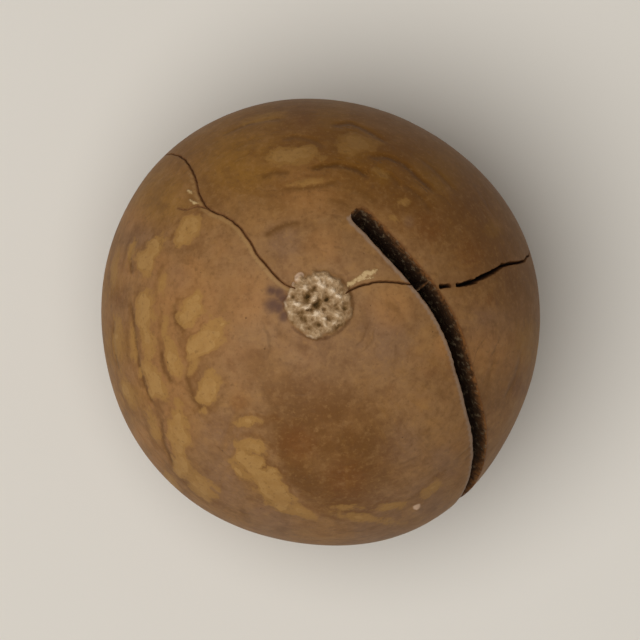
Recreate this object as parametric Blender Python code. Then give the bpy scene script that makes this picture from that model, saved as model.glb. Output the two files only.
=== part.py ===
# A roasted macadamia nut in its shell, sawn with the narrow slot that lets it be prised open.
# Metres, +Z up. The nut lies with its pale pitted pole upwards. The origin is on the small flat
# spot that it rests on, straight below its middle. Seen from above, +X is right and +Y is up.
# There are two solids: the hollow woody shell, and the kernel that lies loose inside it.

import math
import random

import bmesh
import bpy
from mathutils import Vector

MM = 0.001

# The shell's round form, before its lobes
MEAN_RADIUS = 12.5 * MM
MIDDLE_HEIGHT = 12.10 * MM
CAVITY_RADIUS = 10.15 * MM

# Broad swellings and flats of the outside: azimuth, elevation and spread in degrees, then height
LOBES = (
    (295, -8, 24, 0.50 * MM),
    (130, 0, 34, 0.22 * MM),
    (188, 5, 30, -0.28 * MM),
    (342, 8, 28, -0.16 * MM),
    (62, 5, 30, -0.26 * MM),
    (205, -48, 30, 0.18 * MM),
    (40, -40, 34, -0.14 * MM),
)

# The pole with the scar leans a little towards +Y
POLE = Vector((-0.011, 0.064, 0.998)).normalized()
POLE_FLAT = 0.16 * MM
POLE_FLAT_SPREAD = math.radians(20)
FAR_POLE_RISE = 0.16 * MM
FAR_POLE_SPREAD = math.radians(9)

# The scar: a low round pad of grains and pits
SCAR_RADIUS = 1.92 * MM
SCAR_RISE = 0.13 * MM
SCAR_EDGE = 0.22 * MM
GRAIN_COUNT = 52
GRAIN_RADIUS = 0.17 * MM
GRAIN_HEIGHT = 0.16 * MM
GRAIN_REACH = 0.93
GRAIN_SWAY = 0.25
GRAIN_LEAST = 0.55
GRAIN_MOST = 1.10
PIT_EVERY = 3
SCAR_SEED = 11

# Wall inside: a smooth cavity, with a thicker wall at the two poles
SCAR_WALL = 0.55 * MM
FAR_WALL = 0.25 * MM
POLE_WALL_SPREAD = math.radians(30)

# The saw slot: the saw's plane, and the stretch in degrees that it was rolled along
SLOT_NORMAL = Vector((0.700, 0.550, -0.455)).normalized()
SLOT_OFFSET = -0.24 * MM
SLOT_WIDTH = 1.10 * MM
SLOT_DEPTH = 2.85 * MM
SLOT_START = -17
SLOT_END = 138
SAW_RADIUS = 16.0 * MM
SLOT_CLEAR = 3.0 * MM
SLOT_RIM_LIFT = 1.12
SLOT_FLOOR_STEPS = 20
SLOT_END_STEP = 3.2

# Cracks, as points seen from above in millimetres from the nut's middle
LEFT_CRACK = (
    (-1.35, 1.72),
    (-2.20, 2.16),
    (-2.89, 2.95),
    (-3.56, 3.74),
    (-4.05, 4.63),
    (-4.64, 5.31),
    (-5.33, 5.80),
    (-6.21, 6.19),
    (-6.70, 6.96),
    (-7.00, 8.05),
    (-7.45, 8.85),
)
BRANCH_CRACK = (
    (-6.05, 6.10),
    (-6.80, 6.34),
    (-7.40, 6.16),
    (-7.95, 6.22),
)
RIGHT_CRACK = (
    (1.40, 1.45),
    (1.81, 1.72),
    (2.60, 1.99),
    (3.59, 2.13),
    (4.76, 2.04),
    (5.60, 1.93),
    (6.81, 1.90),
    (7.70, 1.95),
    (8.68, 2.20),
    (9.66, 2.70),
    (10.44, 3.12),
    (11.25, 3.24),
)

# How wide each crack gapes, how deep it goes, and how it narrows to its tips
LEFT_GAPE = 0.20 * MM
BRANCH_GAPE = 0.15 * MM
RIGHT_GAPE = 0.32 * MM
CRACK_DEPTH = 0.95 * MM
CRACK_TIP = 0.25
CRACK_NARROWING = 4
CRACK_LEAST_DEPTH = 0.45
GAPE_LEAST = 0.80
GAPE_MOST = 1.15
CRACK_CLEAR = 0.40 * MM
CRACK_SEED = 5

# Where the two long cracks go on below the widest part, in degrees
LEFT_SIDE_RUN = 26
RIGHT_SIDE_RUN = 20
SIDE_STEP = 4
SIDE_WANDER = 1.1

# The kernel, which has dropped to just above the cavity's floor
KERNEL_RADIUS = 9.20 * MM
KERNEL_DROP = 0.25 * MM
KERNEL_BASE_FLAT = 0.50 * MM
KERNEL_BASE_SPREAD = math.radians(34)
KERNEL_TIP_RISE = 0.14 * MM
KERNEL_TIP_SPREAD = math.radians(16)

# The seam between the kernel's two seed leaves, which runs over both poles
SEAM_DEPTH = 0.16 * MM
SEAM_SPREAD = math.radians(2.2)
SEAM_TURN = 25
SEAM_SIDE_STEP = 4.5
SEAM_ROOM = 7

# How finely each round surface is divided, in degrees
SHELL_SEGMENTS = 64
CAVITY_SEGMENTS = 40
KERNEL_SEGMENTS = 36
SCAR_STEP = 0.85
SCAR_REACH = 10.5
STEP_GROWTH = 1.45
SHELL_STEP = 4.7
CAVITY_STEP = 9.0
KERNEL_STEP = 8.0

# Rounds of a search that settles within a hundredth of a millimetre
LIFT_ROUNDS = 3

SHELL_COLOUR = (0.28, 0.155, 0.07)
SHELL_ROUGHNESS = 0.5
KERNEL_COLOUR = (0.72, 0.60, 0.40)
KERNEL_ROUGHNESS = 0.45


def clear_scene():
    for thing in list(bpy.data.objects):
        bpy.data.objects.remove(thing)


def toward(azimuth, elevation):
    """The unit vector at this azimuth and elevation, in degrees."""
    turn = math.radians(azimuth)
    rise = math.radians(elevation)
    return Vector((math.cos(turn) * math.cos(rise), math.sin(turn) * math.cos(rise), math.sin(rise)))


def hump(angle, spread):
    """A smooth rise from 0 to 1 as the angle closes on 0."""
    return math.exp(-((angle / spread) ** 2))


def smooth_step(value):
    held = min(1.0, max(0.0, value))
    return held * held * (3 - 2 * held)


POLE_SIDE = POLE.orthogonal().normalized()
POLE_ACROSS = POLE.cross(POLE_SIDE)
LOBE_SHAPES = [(toward(a, e), math.radians(s), h) for a, e, s, h in LOBES]


def scar_grains():
    """Grains and pits of the scar in its own plane, spread as seeds are in a flower head."""
    draw = random.Random(SCAR_SEED)
    golden = math.pi * (3 - math.sqrt(5))
    grains = []
    for i in range(GRAIN_COUNT):
        reach = SCAR_RADIUS * GRAIN_REACH * math.sqrt((i + 0.5) / GRAIN_COUNT)
        turn = i * golden + draw.uniform(-GRAIN_SWAY, GRAIN_SWAY)
        height = GRAIN_HEIGHT * draw.uniform(GRAIN_LEAST, GRAIN_MOST)
        if i % PIT_EVERY == 1:
            height = -height
        grains.append((reach * math.cos(turn), reach * math.sin(turn), height))
    return grains


GRAINS = scar_grains()


def scar_relief(direction):
    """How far the scar stands out of the shell at this direction."""
    if direction.dot(POLE) < math.cos(math.radians(SCAR_REACH + SCAR_STEP)):
        return 0.0
    x = direction.dot(POLE_SIDE) * MEAN_RADIUS
    y = direction.dot(POLE_ACROSS) * MEAN_RADIUS
    pad = smooth_step((SCAR_RADIUS - math.hypot(x, y)) / SCAR_EDGE)
    bumps = sum(h * math.exp(-((x - gx) ** 2 + (y - gy) ** 2) / GRAIN_RADIUS**2) for gx, gy, h in GRAINS)
    return pad * (SCAR_RISE + bumps)


def shell_radius(direction):
    """Distance from the nut's middle to the outside of the shell."""
    from_scar = direction.angle(POLE)
    radius = MEAN_RADIUS
    radius += sum(height * hump(direction.angle(peak), spread) for peak, spread, height in LOBE_SHAPES)
    radius -= POLE_FLAT * hump(from_scar, POLE_FLAT_SPREAD)
    radius += FAR_POLE_RISE * hump(math.pi - from_scar, FAR_POLE_SPREAD)
    return radius + scar_relief(direction)


def cavity_radius(direction):
    """Distance from the nut's middle to the inside of the shell."""
    from_scar = direction.angle(POLE)
    thicker = SCAR_WALL * hump(from_scar, POLE_WALL_SPREAD)
    thicker += FAR_WALL * hump(math.pi - from_scar, POLE_WALL_SPREAD)
    return CAVITY_RADIUS - thicker


def kernel_radius(direction):
    """Distance from the kernel's middle to its surface: flat at the base, a blunt tip, a fine seam."""
    from_scar = direction.angle(POLE)
    turn = math.radians(SEAM_TURN)
    seam_way = POLE_SIDE * math.cos(turn) + POLE_ACROSS * math.sin(turn)
    from_seam = abs(math.asin(max(-1.0, min(1.0, direction.dot(seam_way)))))
    radius = KERNEL_RADIUS - KERNEL_BASE_FLAT * hump(from_scar, KERNEL_BASE_SPREAD)
    radius += KERNEL_TIP_RISE * hump(math.pi - from_scar, KERNEL_TIP_SPREAD)
    return radius - SEAM_DEPTH * hump(from_seam, SEAM_SPREAD)


def even_rings(step):
    """Polar angles of the rings between the poles, evenly spaced, in degrees."""
    count = round(180 / step)
    return [180 * i / count for i in range(1, count)]


def shell_rings():
    """Polar angles of the shell's rings: close together on the scar, then growing to the full step."""
    angle = 0.0
    step = SCAR_STEP
    rings = []
    while angle < 180 - step:
        angle += step
        rings.append(angle)
        if angle > SCAR_REACH:
            step = min(SHELL_STEP, step * STEP_GROWTH)
    return rings


def even_turns(segments):
    """Azimuths of the points round each ring, in degrees."""
    return [360 * i / segments for i in range(segments)]


def kernel_turns():
    """Evenly spaced azimuths, with a close set of three where the seam crosses each ring."""
    middles = (SEAM_TURN + 90, SEAM_TURN + 270)
    close = [middle + offset for middle in middles for offset in (-SEAM_SIDE_STEP, 0, SEAM_SIDE_STEP)]
    even = [t for t in even_turns(KERNEL_SEGMENTS) if all(abs(t - middle) > SEAM_ROOM for middle in middles)]
    return sorted(even + close)


def finished(name, form):
    """Turns the bmesh into a mesh object whose faces point out."""
    bmesh.ops.recalc_face_normals(form, faces=form.faces)
    mesh = bpy.data.meshes.new(name)
    form.to_mesh(mesh)
    form.free()
    mesh.shade_smooth()
    thing = bpy.data.objects.new(name, mesh)
    bpy.context.scene.collection.objects.link(thing)
    return thing


def globe(name, rings, turns, radius_at):
    """A closed round mesh about the pole axis, its distance from the middle given by radius_at."""
    form = bmesh.new()

    def point(ring, turn):
        polar = math.radians(ring)
        around = math.radians(turn)
        side = POLE_SIDE * math.cos(around) + POLE_ACROSS * math.sin(around)
        direction = POLE * math.cos(polar) + side * math.sin(polar)
        return form.verts.new(direction * radius_at(direction))

    top = form.verts.new(POLE * radius_at(POLE))
    bottom = form.verts.new(-POLE * radius_at(-POLE))
    rows = [[point(ring, turn) for turn in turns] for ring in rings]
    count = len(turns)
    for i in range(count):
        j = (i + 1) % count
        form.faces.new((top, rows[0][i], rows[0][j]))
        form.faces.new((bottom, rows[-1][j], rows[-1][i]))
        for upper, lower in zip(rows, rows[1:]):
            form.faces.new((upper[i], lower[i], lower[j], upper[j]))
    return finished(name, form)


def as_cutter(thing):
    """Puts a helper solid at the nut's middle, where it only cuts others."""
    thing.location.z = MIDDLE_HEIGHT
    thing.hide_render = True
    thing.display_type = "WIRE"
    return thing


def cut(thing, tool):
    modifier = thing.modifiers.new(tool.name, "BOOLEAN")
    modifier.operation = "DIFFERENCE"
    modifier.solver = "EXACT"
    modifier.object = tool


def slot_directions():
    """Two unit vectors in the saw's plane: its highest point, and the way the slot runs from it."""
    high = (Vector((0, 0, 1)) - SLOT_NORMAL * SLOT_NORMAL.z).normalized()
    onward = SLOT_NORMAL.cross(high)
    if onward.y > 0:
        onward = -onward
    return high, onward


def slot_end(middle, side, saw_distance, outside):
    """Points on the saw's rim at one end of the slot, from its floor out past the shell."""
    points = []
    distance = saw_distance - SAW_RADIUS
    swing = 0.0
    while distance <= outside:
        swing += math.radians(SLOT_END_STEP)
        inward = saw_distance - SAW_RADIUS * math.cos(swing)
        along = SAW_RADIUS * math.sin(swing)
        distance = math.hypot(inward, along)
        points.append((distance, middle + side * math.atan2(along, inward)))
    return points


def slot_outline():
    """The sawn area in the saw's plane, as distance and angle: its floor, two round ends, and outside."""
    floor = MEAN_RADIUS - SLOT_DEPTH
    outside = MEAN_RADIUS + SLOT_CLEAR
    saw_distance = floor + SAW_RADIUS
    cosine = (MEAN_RADIUS**2 + saw_distance**2 - SAW_RADIUS**2) / (2 * MEAN_RADIUS * saw_distance)
    half_span = math.acos(cosine)
    first = math.radians(SLOT_START) + half_span
    last = math.radians(SLOT_END) - half_span
    steps = SLOT_FLOOR_STEPS
    floor_points = [(floor, first + (last - first) * i / steps) for i in range(steps + 1)]
    start_points = slot_end(first, -1, saw_distance, outside)
    end_points = slot_end(last, 1, saw_distance, outside)
    begin = start_points[-1][1]
    finish = end_points[-1][1]
    rim = [(outside * SLOT_RIM_LIFT, finish + (begin - finish) * i / steps) for i in range(1, steps)]
    return floor_points + end_points + rim + start_points[::-1]


def slot_cutter():
    """The thin curved slab that the saw takes out."""
    high, onward = slot_directions()
    outline = slot_outline()
    form = bmesh.new()
    rows = []
    for side in (-0.5, 0.5):
        lift = SLOT_NORMAL * (SLOT_OFFSET + side * SLOT_WIDTH)
        places = [lift + (high * math.cos(turn) + onward * math.sin(turn)) * reach for reach, turn in outline]
        rows.append([form.verts.new(place) for place in places])
    near, far = rows
    form.faces.new(near)
    form.faces.new(far[::-1])
    for i in range(len(near)):
        j = (i + 1) % len(near)
        form.faces.new((near[i], far[i], far[j], near[j]))
    return as_cutter(finished("slot_cutter", form))


def lifted(x, y):
    """The unit vector to the point of the shell that is seen at x, y from above, in millimetres."""
    across = Vector((x, y, 0)) * MM
    radius = MEAN_RADIUS
    for _ in range(LIFT_ROUNDS):
        height = math.sqrt(max(radius**2 - across.length_squared, 0.0))
        direction = (across + Vector((0, 0, height))).normalized()
        radius = shell_radius(direction)
    return direction


def down_the_side(direction, run, draw):
    """More points of a crack, on down the side of the nut with a small wander, run degrees in all."""
    azimuth = math.degrees(math.atan2(direction.y, direction.x))
    elevation = math.degrees(math.asin(direction.z))
    points = []
    for i in range(1, run // SIDE_STEP + 1):
        azimuth += draw.uniform(-SIDE_WANDER, SIDE_WANDER)
        points.append(toward(azimuth, elevation - SIDE_STEP * i))
    return points


def crack_cutter(name, seen, gape, run=0, tip_at_start=True):
    """A sharp wedge that follows a crack over the shell and thins to its tips."""
    draw = random.Random(CRACK_SEED)
    path = [lifted(x, y) for x, y in seen]
    path += down_the_side(path[-1], run, draw)
    form = bmesh.new()
    rows = []
    for i, direction in enumerate(path):
        ahead = path[min(i + 1, len(path) - 1)] - path[max(i - 1, 0)]
        across = direction.cross(ahead).normalized()
        share = i / (len(path) - 1)
        taper = min(1.0, CRACK_TIP + CRACK_NARROWING * (1 - share))
        if tip_at_start:
            taper = min(taper, CRACK_TIP + CRACK_NARROWING * share)
        width = gape * taper * draw.uniform(GAPE_LEAST, GAPE_MOST)
        depth = CRACK_DEPTH * max(CRACK_LEAST_DEPTH, taper)
        radius = shell_radius(direction)
        spread = across * (width / 2) * (depth + CRACK_CLEAR) / depth
        out = direction * (radius + CRACK_CLEAR)
        rows.append([form.verts.new(p) for p in (out - spread, out + spread, direction * (radius - depth))])
    form.faces.new(rows[0])
    form.faces.new(rows[-1][::-1])
    for first, second in zip(rows, rows[1:]):
        for i in range(3):
            j = (i + 1) % 3
            form.faces.new((first[i], second[i], second[j], first[j]))
    return as_cutter(finished(name, form))


def ground_cutter():
    """A block below the surface that the nut rests on, which leaves the flat spot."""
    form = bmesh.new()
    bmesh.ops.create_cube(form, size=MEAN_RADIUS)
    bmesh.ops.translate(form, verts=form.verts, vec=Vector((0, 0, -MIDDLE_HEIGHT - MEAN_RADIUS / 2)))
    return as_cutter(finished("ground_cutter", form))


def paint(thing, name, colour, roughness):
    material = bpy.data.materials.new(name)
    material.use_nodes = True
    surface = material.node_tree.nodes["Principled BSDF"]
    surface.inputs["Base Color"].default_value = (*colour, 1)
    surface.inputs["Roughness"].default_value = roughness
    surface.inputs["Metallic"].default_value = 0
    thing.data.materials.append(material)


def make_shell():
    shell = globe("shell", shell_rings(), even_turns(SHELL_SEGMENTS), shell_radius)
    shell.location.z = MIDDLE_HEIGHT
    cavity = globe("cavity_cutter", even_rings(CAVITY_STEP), even_turns(CAVITY_SEGMENTS), cavity_radius)
    cut(shell, as_cutter(cavity))
    cut(shell, slot_cutter())
    cut(shell, crack_cutter("left_crack_cutter", LEFT_CRACK, LEFT_GAPE, LEFT_SIDE_RUN))
    cut(shell, crack_cutter("branch_crack_cutter", BRANCH_CRACK, BRANCH_GAPE, tip_at_start=False))
    cut(shell, crack_cutter("right_crack_cutter", RIGHT_CRACK, RIGHT_GAPE, RIGHT_SIDE_RUN))
    cut(shell, ground_cutter())
    paint(shell, "seed_coat", SHELL_COLOUR, SHELL_ROUGHNESS)


def make_kernel():
    kernel = globe("kernel", even_rings(KERNEL_STEP), kernel_turns(), kernel_radius)
    kernel.location.z = MIDDLE_HEIGHT - KERNEL_DROP
    paint(kernel, "kernel_flesh", KERNEL_COLOUR, KERNEL_ROUGHNESS)


clear_scene()
make_shell()
make_kernel()
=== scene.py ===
import math
import random

import bmesh
import bpy
import numpy as np
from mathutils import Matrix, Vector, noise


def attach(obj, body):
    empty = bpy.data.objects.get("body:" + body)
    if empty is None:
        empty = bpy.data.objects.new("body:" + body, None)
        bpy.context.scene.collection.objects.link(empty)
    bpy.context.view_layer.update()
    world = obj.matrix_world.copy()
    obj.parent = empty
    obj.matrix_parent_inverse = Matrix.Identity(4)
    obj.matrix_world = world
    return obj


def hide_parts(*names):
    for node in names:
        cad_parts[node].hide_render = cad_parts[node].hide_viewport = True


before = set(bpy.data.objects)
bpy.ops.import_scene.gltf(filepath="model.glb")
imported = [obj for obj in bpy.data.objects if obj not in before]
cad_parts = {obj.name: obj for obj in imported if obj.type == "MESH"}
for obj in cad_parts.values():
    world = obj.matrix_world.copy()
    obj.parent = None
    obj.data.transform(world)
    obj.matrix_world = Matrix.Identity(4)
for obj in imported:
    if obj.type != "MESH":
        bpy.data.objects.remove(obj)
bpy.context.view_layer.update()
print("frame loaded:", sorted(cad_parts))

mm = 0.001


# Small helpers

def hexColour(code):
    channels = [int(code[i:i + 2], 16) / 255 for i in (1, 3, 5)]
    return (*[c / 12.92 if c <= 0.04045 else ((c + 0.055) / 1.055) ** 2.4 for c in channels], 1.0)


def setNode(tree, node, settings, links):
    # settings are the node's own properties, its sockets by name or number, or the stops of its ramp
    for key, value in settings.items():
        if key == "stops":
            ramp = node.color_ramp
            while len(ramp.elements) < len(value):
                ramp.elements.new(0.5)
            for element, (place, code) in zip(ramp.elements, value):
                element.position = place
                element.color = hexColour(code)
        elif isinstance(key, str) and hasattr(node, key):
            setattr(node, key, value)
        else:
            node.inputs[key].default_value = value
    for key, source in links.items():
        tree.links.new(source, node.inputs[key])


def addNode(tree, kind, settings=None, links=None, give=0):
    # the output that it gives is named or numbered
    node = tree.nodes.new("ShaderNode" + kind)
    setNode(tree, node, settings or {}, links or {})
    return node.outputs[give]


def newMaterial(name):
    material = bpy.data.materials.new(name)
    material.use_nodes = True
    tree = material.node_tree
    where = addNode(tree, "TexCoord", give="Object")
    toMm = {"Scale": (1 / mm, 1 / mm, 1 / mm)}
    inMm = addNode(tree, "Mapping", toMm, {"Vector": where})
    return material, tree, tree.nodes["Principled BSDF"], inMm


def addObject(name, data):
    thing = bpy.data.objects.new(name, data)
    bpy.context.scene.collection.objects.link(thing)
    return thing


def toObject(name, points, faces, materials, faceKinds=None):
    mesh = bpy.data.meshes.new(name)
    mesh.from_pydata([tuple(p) for p in points], [], faces)
    for material in materials:
        mesh.materials.append(material)
    if faceKinds is not None:
        mesh.polygons.foreach_set("material_index", faceKinds)
    form = bmesh.new()
    form.from_mesh(mesh)
    bmesh.ops.recalc_face_normals(form, faces=form.faces)
    form.to_mesh(mesh)
    form.free()
    mesh.shade_smooth()
    return addObject(name, mesh)


def smoothStep(value):
    held = np.clip(value, 0, 1)
    return held * held * (3 - 2 * held)


def bell(value, width):
    return np.exp(-(value / width) ** 2)


def angleFrom(directions, way):
    return np.arccos(np.clip(directions @ np.array(way), -1, 1))


def toward(azimuth, elevation):
    turn = math.radians(azimuth)
    rise = math.radians(elevation)
    return np.array([math.cos(turn) * math.cos(rise), math.sin(turn) * math.cos(rise), math.sin(rise)])


def noiseAt(points, size, offset=0.0):
    # smooth noise from about -1 to 1, whose lumps are about this size; points and size in the same unit
    shift = Vector((offset, offset * 0.37, -offset * 0.71))
    return np.array([noise.noise(Vector(p) / size + shift) for p in points])


# The form of the nut, with the values of the part's own source

nutForm = {
    "meanRadius": 12.5 * mm,
    "middleHeight": 12.10 * mm,
    "cavityRadius": 10.15 * mm,
    "lobes": (  # azimuth, elevation, spread in degrees, height
        (295, -8, 24, 0.50 * mm),
        (130, 0, 34, 0.22 * mm),
        (188, 5, 30, -0.28 * mm),
        (342, 8, 28, -0.16 * mm),
        (62, 5, 30, -0.26 * mm),
        (205, -48, 30, 0.18 * mm),
        (40, -40, 34, -0.14 * mm),
    ),
    "poleFlat": 0.16 * mm,
    "poleFlatSpread": math.radians(20),
    "farPoleRise": 0.16 * mm,
    "farPoleSpread": math.radians(9),
    "scarWall": 0.55 * mm,
    "farWall": 0.25 * mm,
    "wallSpread": math.radians(30),
}
middle = Vector((0, 0, nutForm["middleHeight"]))
pole = Vector((-0.011, 0.064, 0.998)).normalized()
poleSide = pole.orthogonal().normalized()
poleAcross = pole.cross(poleSide)

scarForm = {
    # as seen from above, in mm from the nut's middle
    "middle": (-0.10, 0.87),
    "radius": 2.02,
    "ragged": 0.20,
    "edge": 0.46,
    "rise": 0.09 * mm,
    "relief": 0.17 * mm,
    "raggedSizes": (0.55, 0.22),
    "raggedFine": 0.6,
    "wobble": 0.10,
    "wobbleSize": 0.30,
    "crumbSize": 0.17,
    "crumbRise": 0.3,
    "crumbShare": 0.34,
    "nearShare": 1.35,  # of the radius, within which the pad is worked out
    # x, y, long, wide, lean in degrees from +X, and how high each grain stands, or how deep each pit is
    "grains": (
        (-1.37, 2.35, 0.46, 0.42, 40, 1.1), (0.09, 1.92, 0.62, 0.34, -52, 0.9),
        (0.67, 1.61, 0.36, 0.32, 0, 0.9), (1.02, 1.31, 0.50, 0.24, -15, 0.8),
        (-1.31, 0.91, 0.52, 0.24, -15, 0.9), (-0.78, 0.69, 0.56, 0.22, 14, 1.0),
        (-0.14, 0.38, 0.66, 0.38, 12, 0.8), (0.22, 0.04, 0.40, 0.32, -20, 0.8),
        (-0.83, 1.77, 0.40, 0.36, 0, 0.6), (-0.45, -1.04, 0.40, 0.28, -15, 0.7),
        (-1.80, 1.42, 0.90, 0.24, 60, 0.6), (-1.94, 0.88, 0.42, 0.26, -30, 0.5),
        (0.94, 0.30, 0.34, 0.40, 0, 0.5), (0.38, -0.38, 0.56, 0.26, -42, 0.5),
        (0.74, -0.14, 0.34, 0.30, 30, 0.5), (-0.33, 1.12, 0.62, 0.18, 60, 0.6),
        (-1.60, 0.38, 0.56, 0.40, 20, 0.3), (-1.02, -0.42, 0.44, 0.30, 60, 0.4),
        (-0.02, 2.36, 1.05, 0.26, 5, 0.35), (0.58, 2.20, 0.42, 0.30, -30, 0.4),
        (1.30, 1.02, 0.30, 0.34, 0, 0.4), (-0.10, -0.82, 0.46, 0.24, 20, 0.35),
        (-0.86, -0.86, 0.34, 0.24, -20, 0.4), (0.95, -0.85, 0.30, 0.22, 30, 0.3),
    ),
    "pits": (
        (-0.70, 1.31, 0.66, 0.30, 66, 1.2), (-0.19, 0.86, 0.62, 0.32, 50, 1.2),
        (0.34, 1.14, 0.34, 0.30, 0, 1.2), (-0.33, 1.78, 0.34, 0.22, 40, 0.8),
        (-1.51, 1.31, 0.38, 0.22, 0, 0.7), (-1.09, 0.41, 0.50, 0.38, 10, 0.7),
        (-0.95, 0.03, 0.34, 0.36, 0, 0.7), (0.53, 0.07, 0.28, 0.26, 0, 0.7),
        (0.17, 0.54, 0.28, 0.22, 0, 0.7), (-0.11, -0.26, 0.48, 0.22, 10, 0.8),
        (-0.62, -0.46, 0.38, 0.20, 0, 0.6), (-1.21, -0.74, 0.24, 0.36, 0, 0.8),
        (0.53, -0.79, 0.34, 0.20, -20, 0.7), (1.00, -0.47, 0.70, 0.22, 36, 0.9),
        (1.42, 0.72, 0.56, 0.22, 85, 0.8), (-1.59, -0.15, 0.38, 0.26, 0, 0.7),
        (-2.05, 0.38, 0.42, 0.24, -60, 0.7), (-0.42, -1.30, 0.40, 0.16, 0, 0.6),
        (-0.59, 0.56, 0.50, 0.12, -6, 0.8), (0.88, 0.74, 0.32, 0.30, 0, 0.5),
        (0.36, 1.52, 0.22, 0.20, 0, 0.4), (-0.72, 2.62, 0.44, 0.20, 10, 0.8),
        (1.30, 1.72, 0.30, 0.20, -40, 0.5),
    ),
}


def ovalReach(x, y, oval):
    # 0 in the middle of an oval, 1 on its edge
    middleX, middleY, long, wide, lean = oval[:5]
    turn = math.radians(lean)
    u = ((x - middleX) * math.cos(turn) + (y - middleY) * math.sin(turn)) / (long / 2)
    v = ((y - middleY) * math.cos(turn) - (x - middleX) * math.sin(turn)) / (wide / 2)
    return np.hypot(u, v)


def scarShape(directions):
    # how much of the pad is at each direction, and how high its grains stand there, from about -1 to 1
    x = directions[:, 0] * nutForm["meanRadius"] / mm
    y = directions[:, 1] * nutForm["meanRadius"] / mm
    away = np.hypot(x - scarForm["middle"][0], y - scarForm["middle"][1])
    pad = np.zeros(len(directions))
    bumps = np.zeros(len(directions))
    reach = scarForm["radius"] * scarForm["nearShare"]
    near = np.flatnonzero((directions[:, 2] > 0) & (away < reach))
    if len(near):
        x, y = x[near], y[near]
        spots = np.column_stack([x, y, np.zeros(len(near))])
        broad, fine = scarForm["raggedSizes"]
        ragged = noiseAt(spots, broad, 3) + scarForm["raggedFine"] * noiseAt(spots, fine, 9)
        ragged = ragged * scarForm["ragged"]
        pad[near] = smoothStep((scarForm["radius"] + ragged - away[near]) / scarForm["edge"])
        wobbleX = x + noiseAt(spots, scarForm["wobbleSize"], 31) * scarForm["wobble"]
        wobbleY = y + noiseAt(spots, scarForm["wobbleSize"], 37) * scarForm["wobble"]
        for grain in scarForm["grains"]:
            bumps[near] += grain[5] * np.exp(-ovalReach(wobbleX, wobbleY, grain) ** 2)
        for pit in scarForm["pits"]:
            bumps[near] -= pit[5] * np.exp(-ovalReach(wobbleX, wobbleY, pit) ** 2)
        crumbs = noiseAt(spots, scarForm["crumbSize"], 21) + scarForm["crumbRise"]
        bumps[near] += crumbs * scarForm["crumbShare"]
    return pad, bumps


def roundForm(directions):
    # the smooth outside, without scar or skin
    fromScar = angleFrom(directions, pole)
    radius = np.full(len(directions), nutForm["meanRadius"])
    for azimuth, elevation, spread, height in nutForm["lobes"]:
        angle = angleFrom(directions, toward(azimuth, elevation))
        radius += height * bell(angle, math.radians(spread))
    radius -= nutForm["poleFlat"] * bell(fromScar, nutForm["poleFlatSpread"])
    radius += nutForm["farPoleRise"] * bell(math.pi - fromScar, nutForm["farPoleSpread"])
    return radius


skinForm = {
    "dentSize": 5.2 * mm,
    "dentDepth": 0.040 * mm,
    "dimpleSize": 1.7 * mm,
    "dimpleDepth": 0.010 * mm,
    # as seen from above, in mm: crumbs of pale shell that stuck to the skin; the first, low on the right, is
    # a tiny chip whose pale colour is partly a painted glint
    "crumbs": ((5.42, -10.45, 0.46, 0.36, 30), (-1.16, 2.40, 0.60, 0.46, 50), (-1.46, 1.98, 0.30, 0.20, 70)),
    "crumbHeight": 0.12 * mm,
    "crumbWobble": 0.08,
    "crumbWobbleSize": 0.3 * mm,
}


def crumbShape(directions, places):
    size = skinForm["crumbWobbleSize"]
    x = places[:, 0] / mm + noiseAt(places, size, 70) * skinForm["crumbWobble"]
    y = places[:, 1] / mm + noiseAt(places, size, 75) * skinForm["crumbWobble"]
    crumbs = [np.exp(-ovalReach(x, y, crumb) ** 3) for crumb in skinForm["crumbs"]]
    return np.where(directions[:, 2] > 0, np.maximum.reduce(crumbs), 0)


def skinShape(directions):
    places = directions * nutForm["meanRadius"]
    dents = noiseAt(places, skinForm["dentSize"], 1) * skinForm["dentDepth"]
    dents += noiseAt(places, skinForm["dimpleSize"], 2) * skinForm["dimpleDepth"]
    return dents + crumbShape(directions, places) * skinForm["crumbHeight"]


def seenFromAbove(x, y):
    # the direction to the point of the shell that is seen at x, y (in mm) from straight above
    across = np.array([x, y, 0]) * mm
    radius = nutForm["meanRadius"]
    for _ in range(3):
        height = math.sqrt(max(radius ** 2 - across @ across, 0))
        direction = across + np.array([0, 0, height])
        direction /= np.linalg.norm(direction)
        radius = roundForm(direction[None])[0]
    return direction


# Creases where the seed coat shrank as it dried

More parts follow.
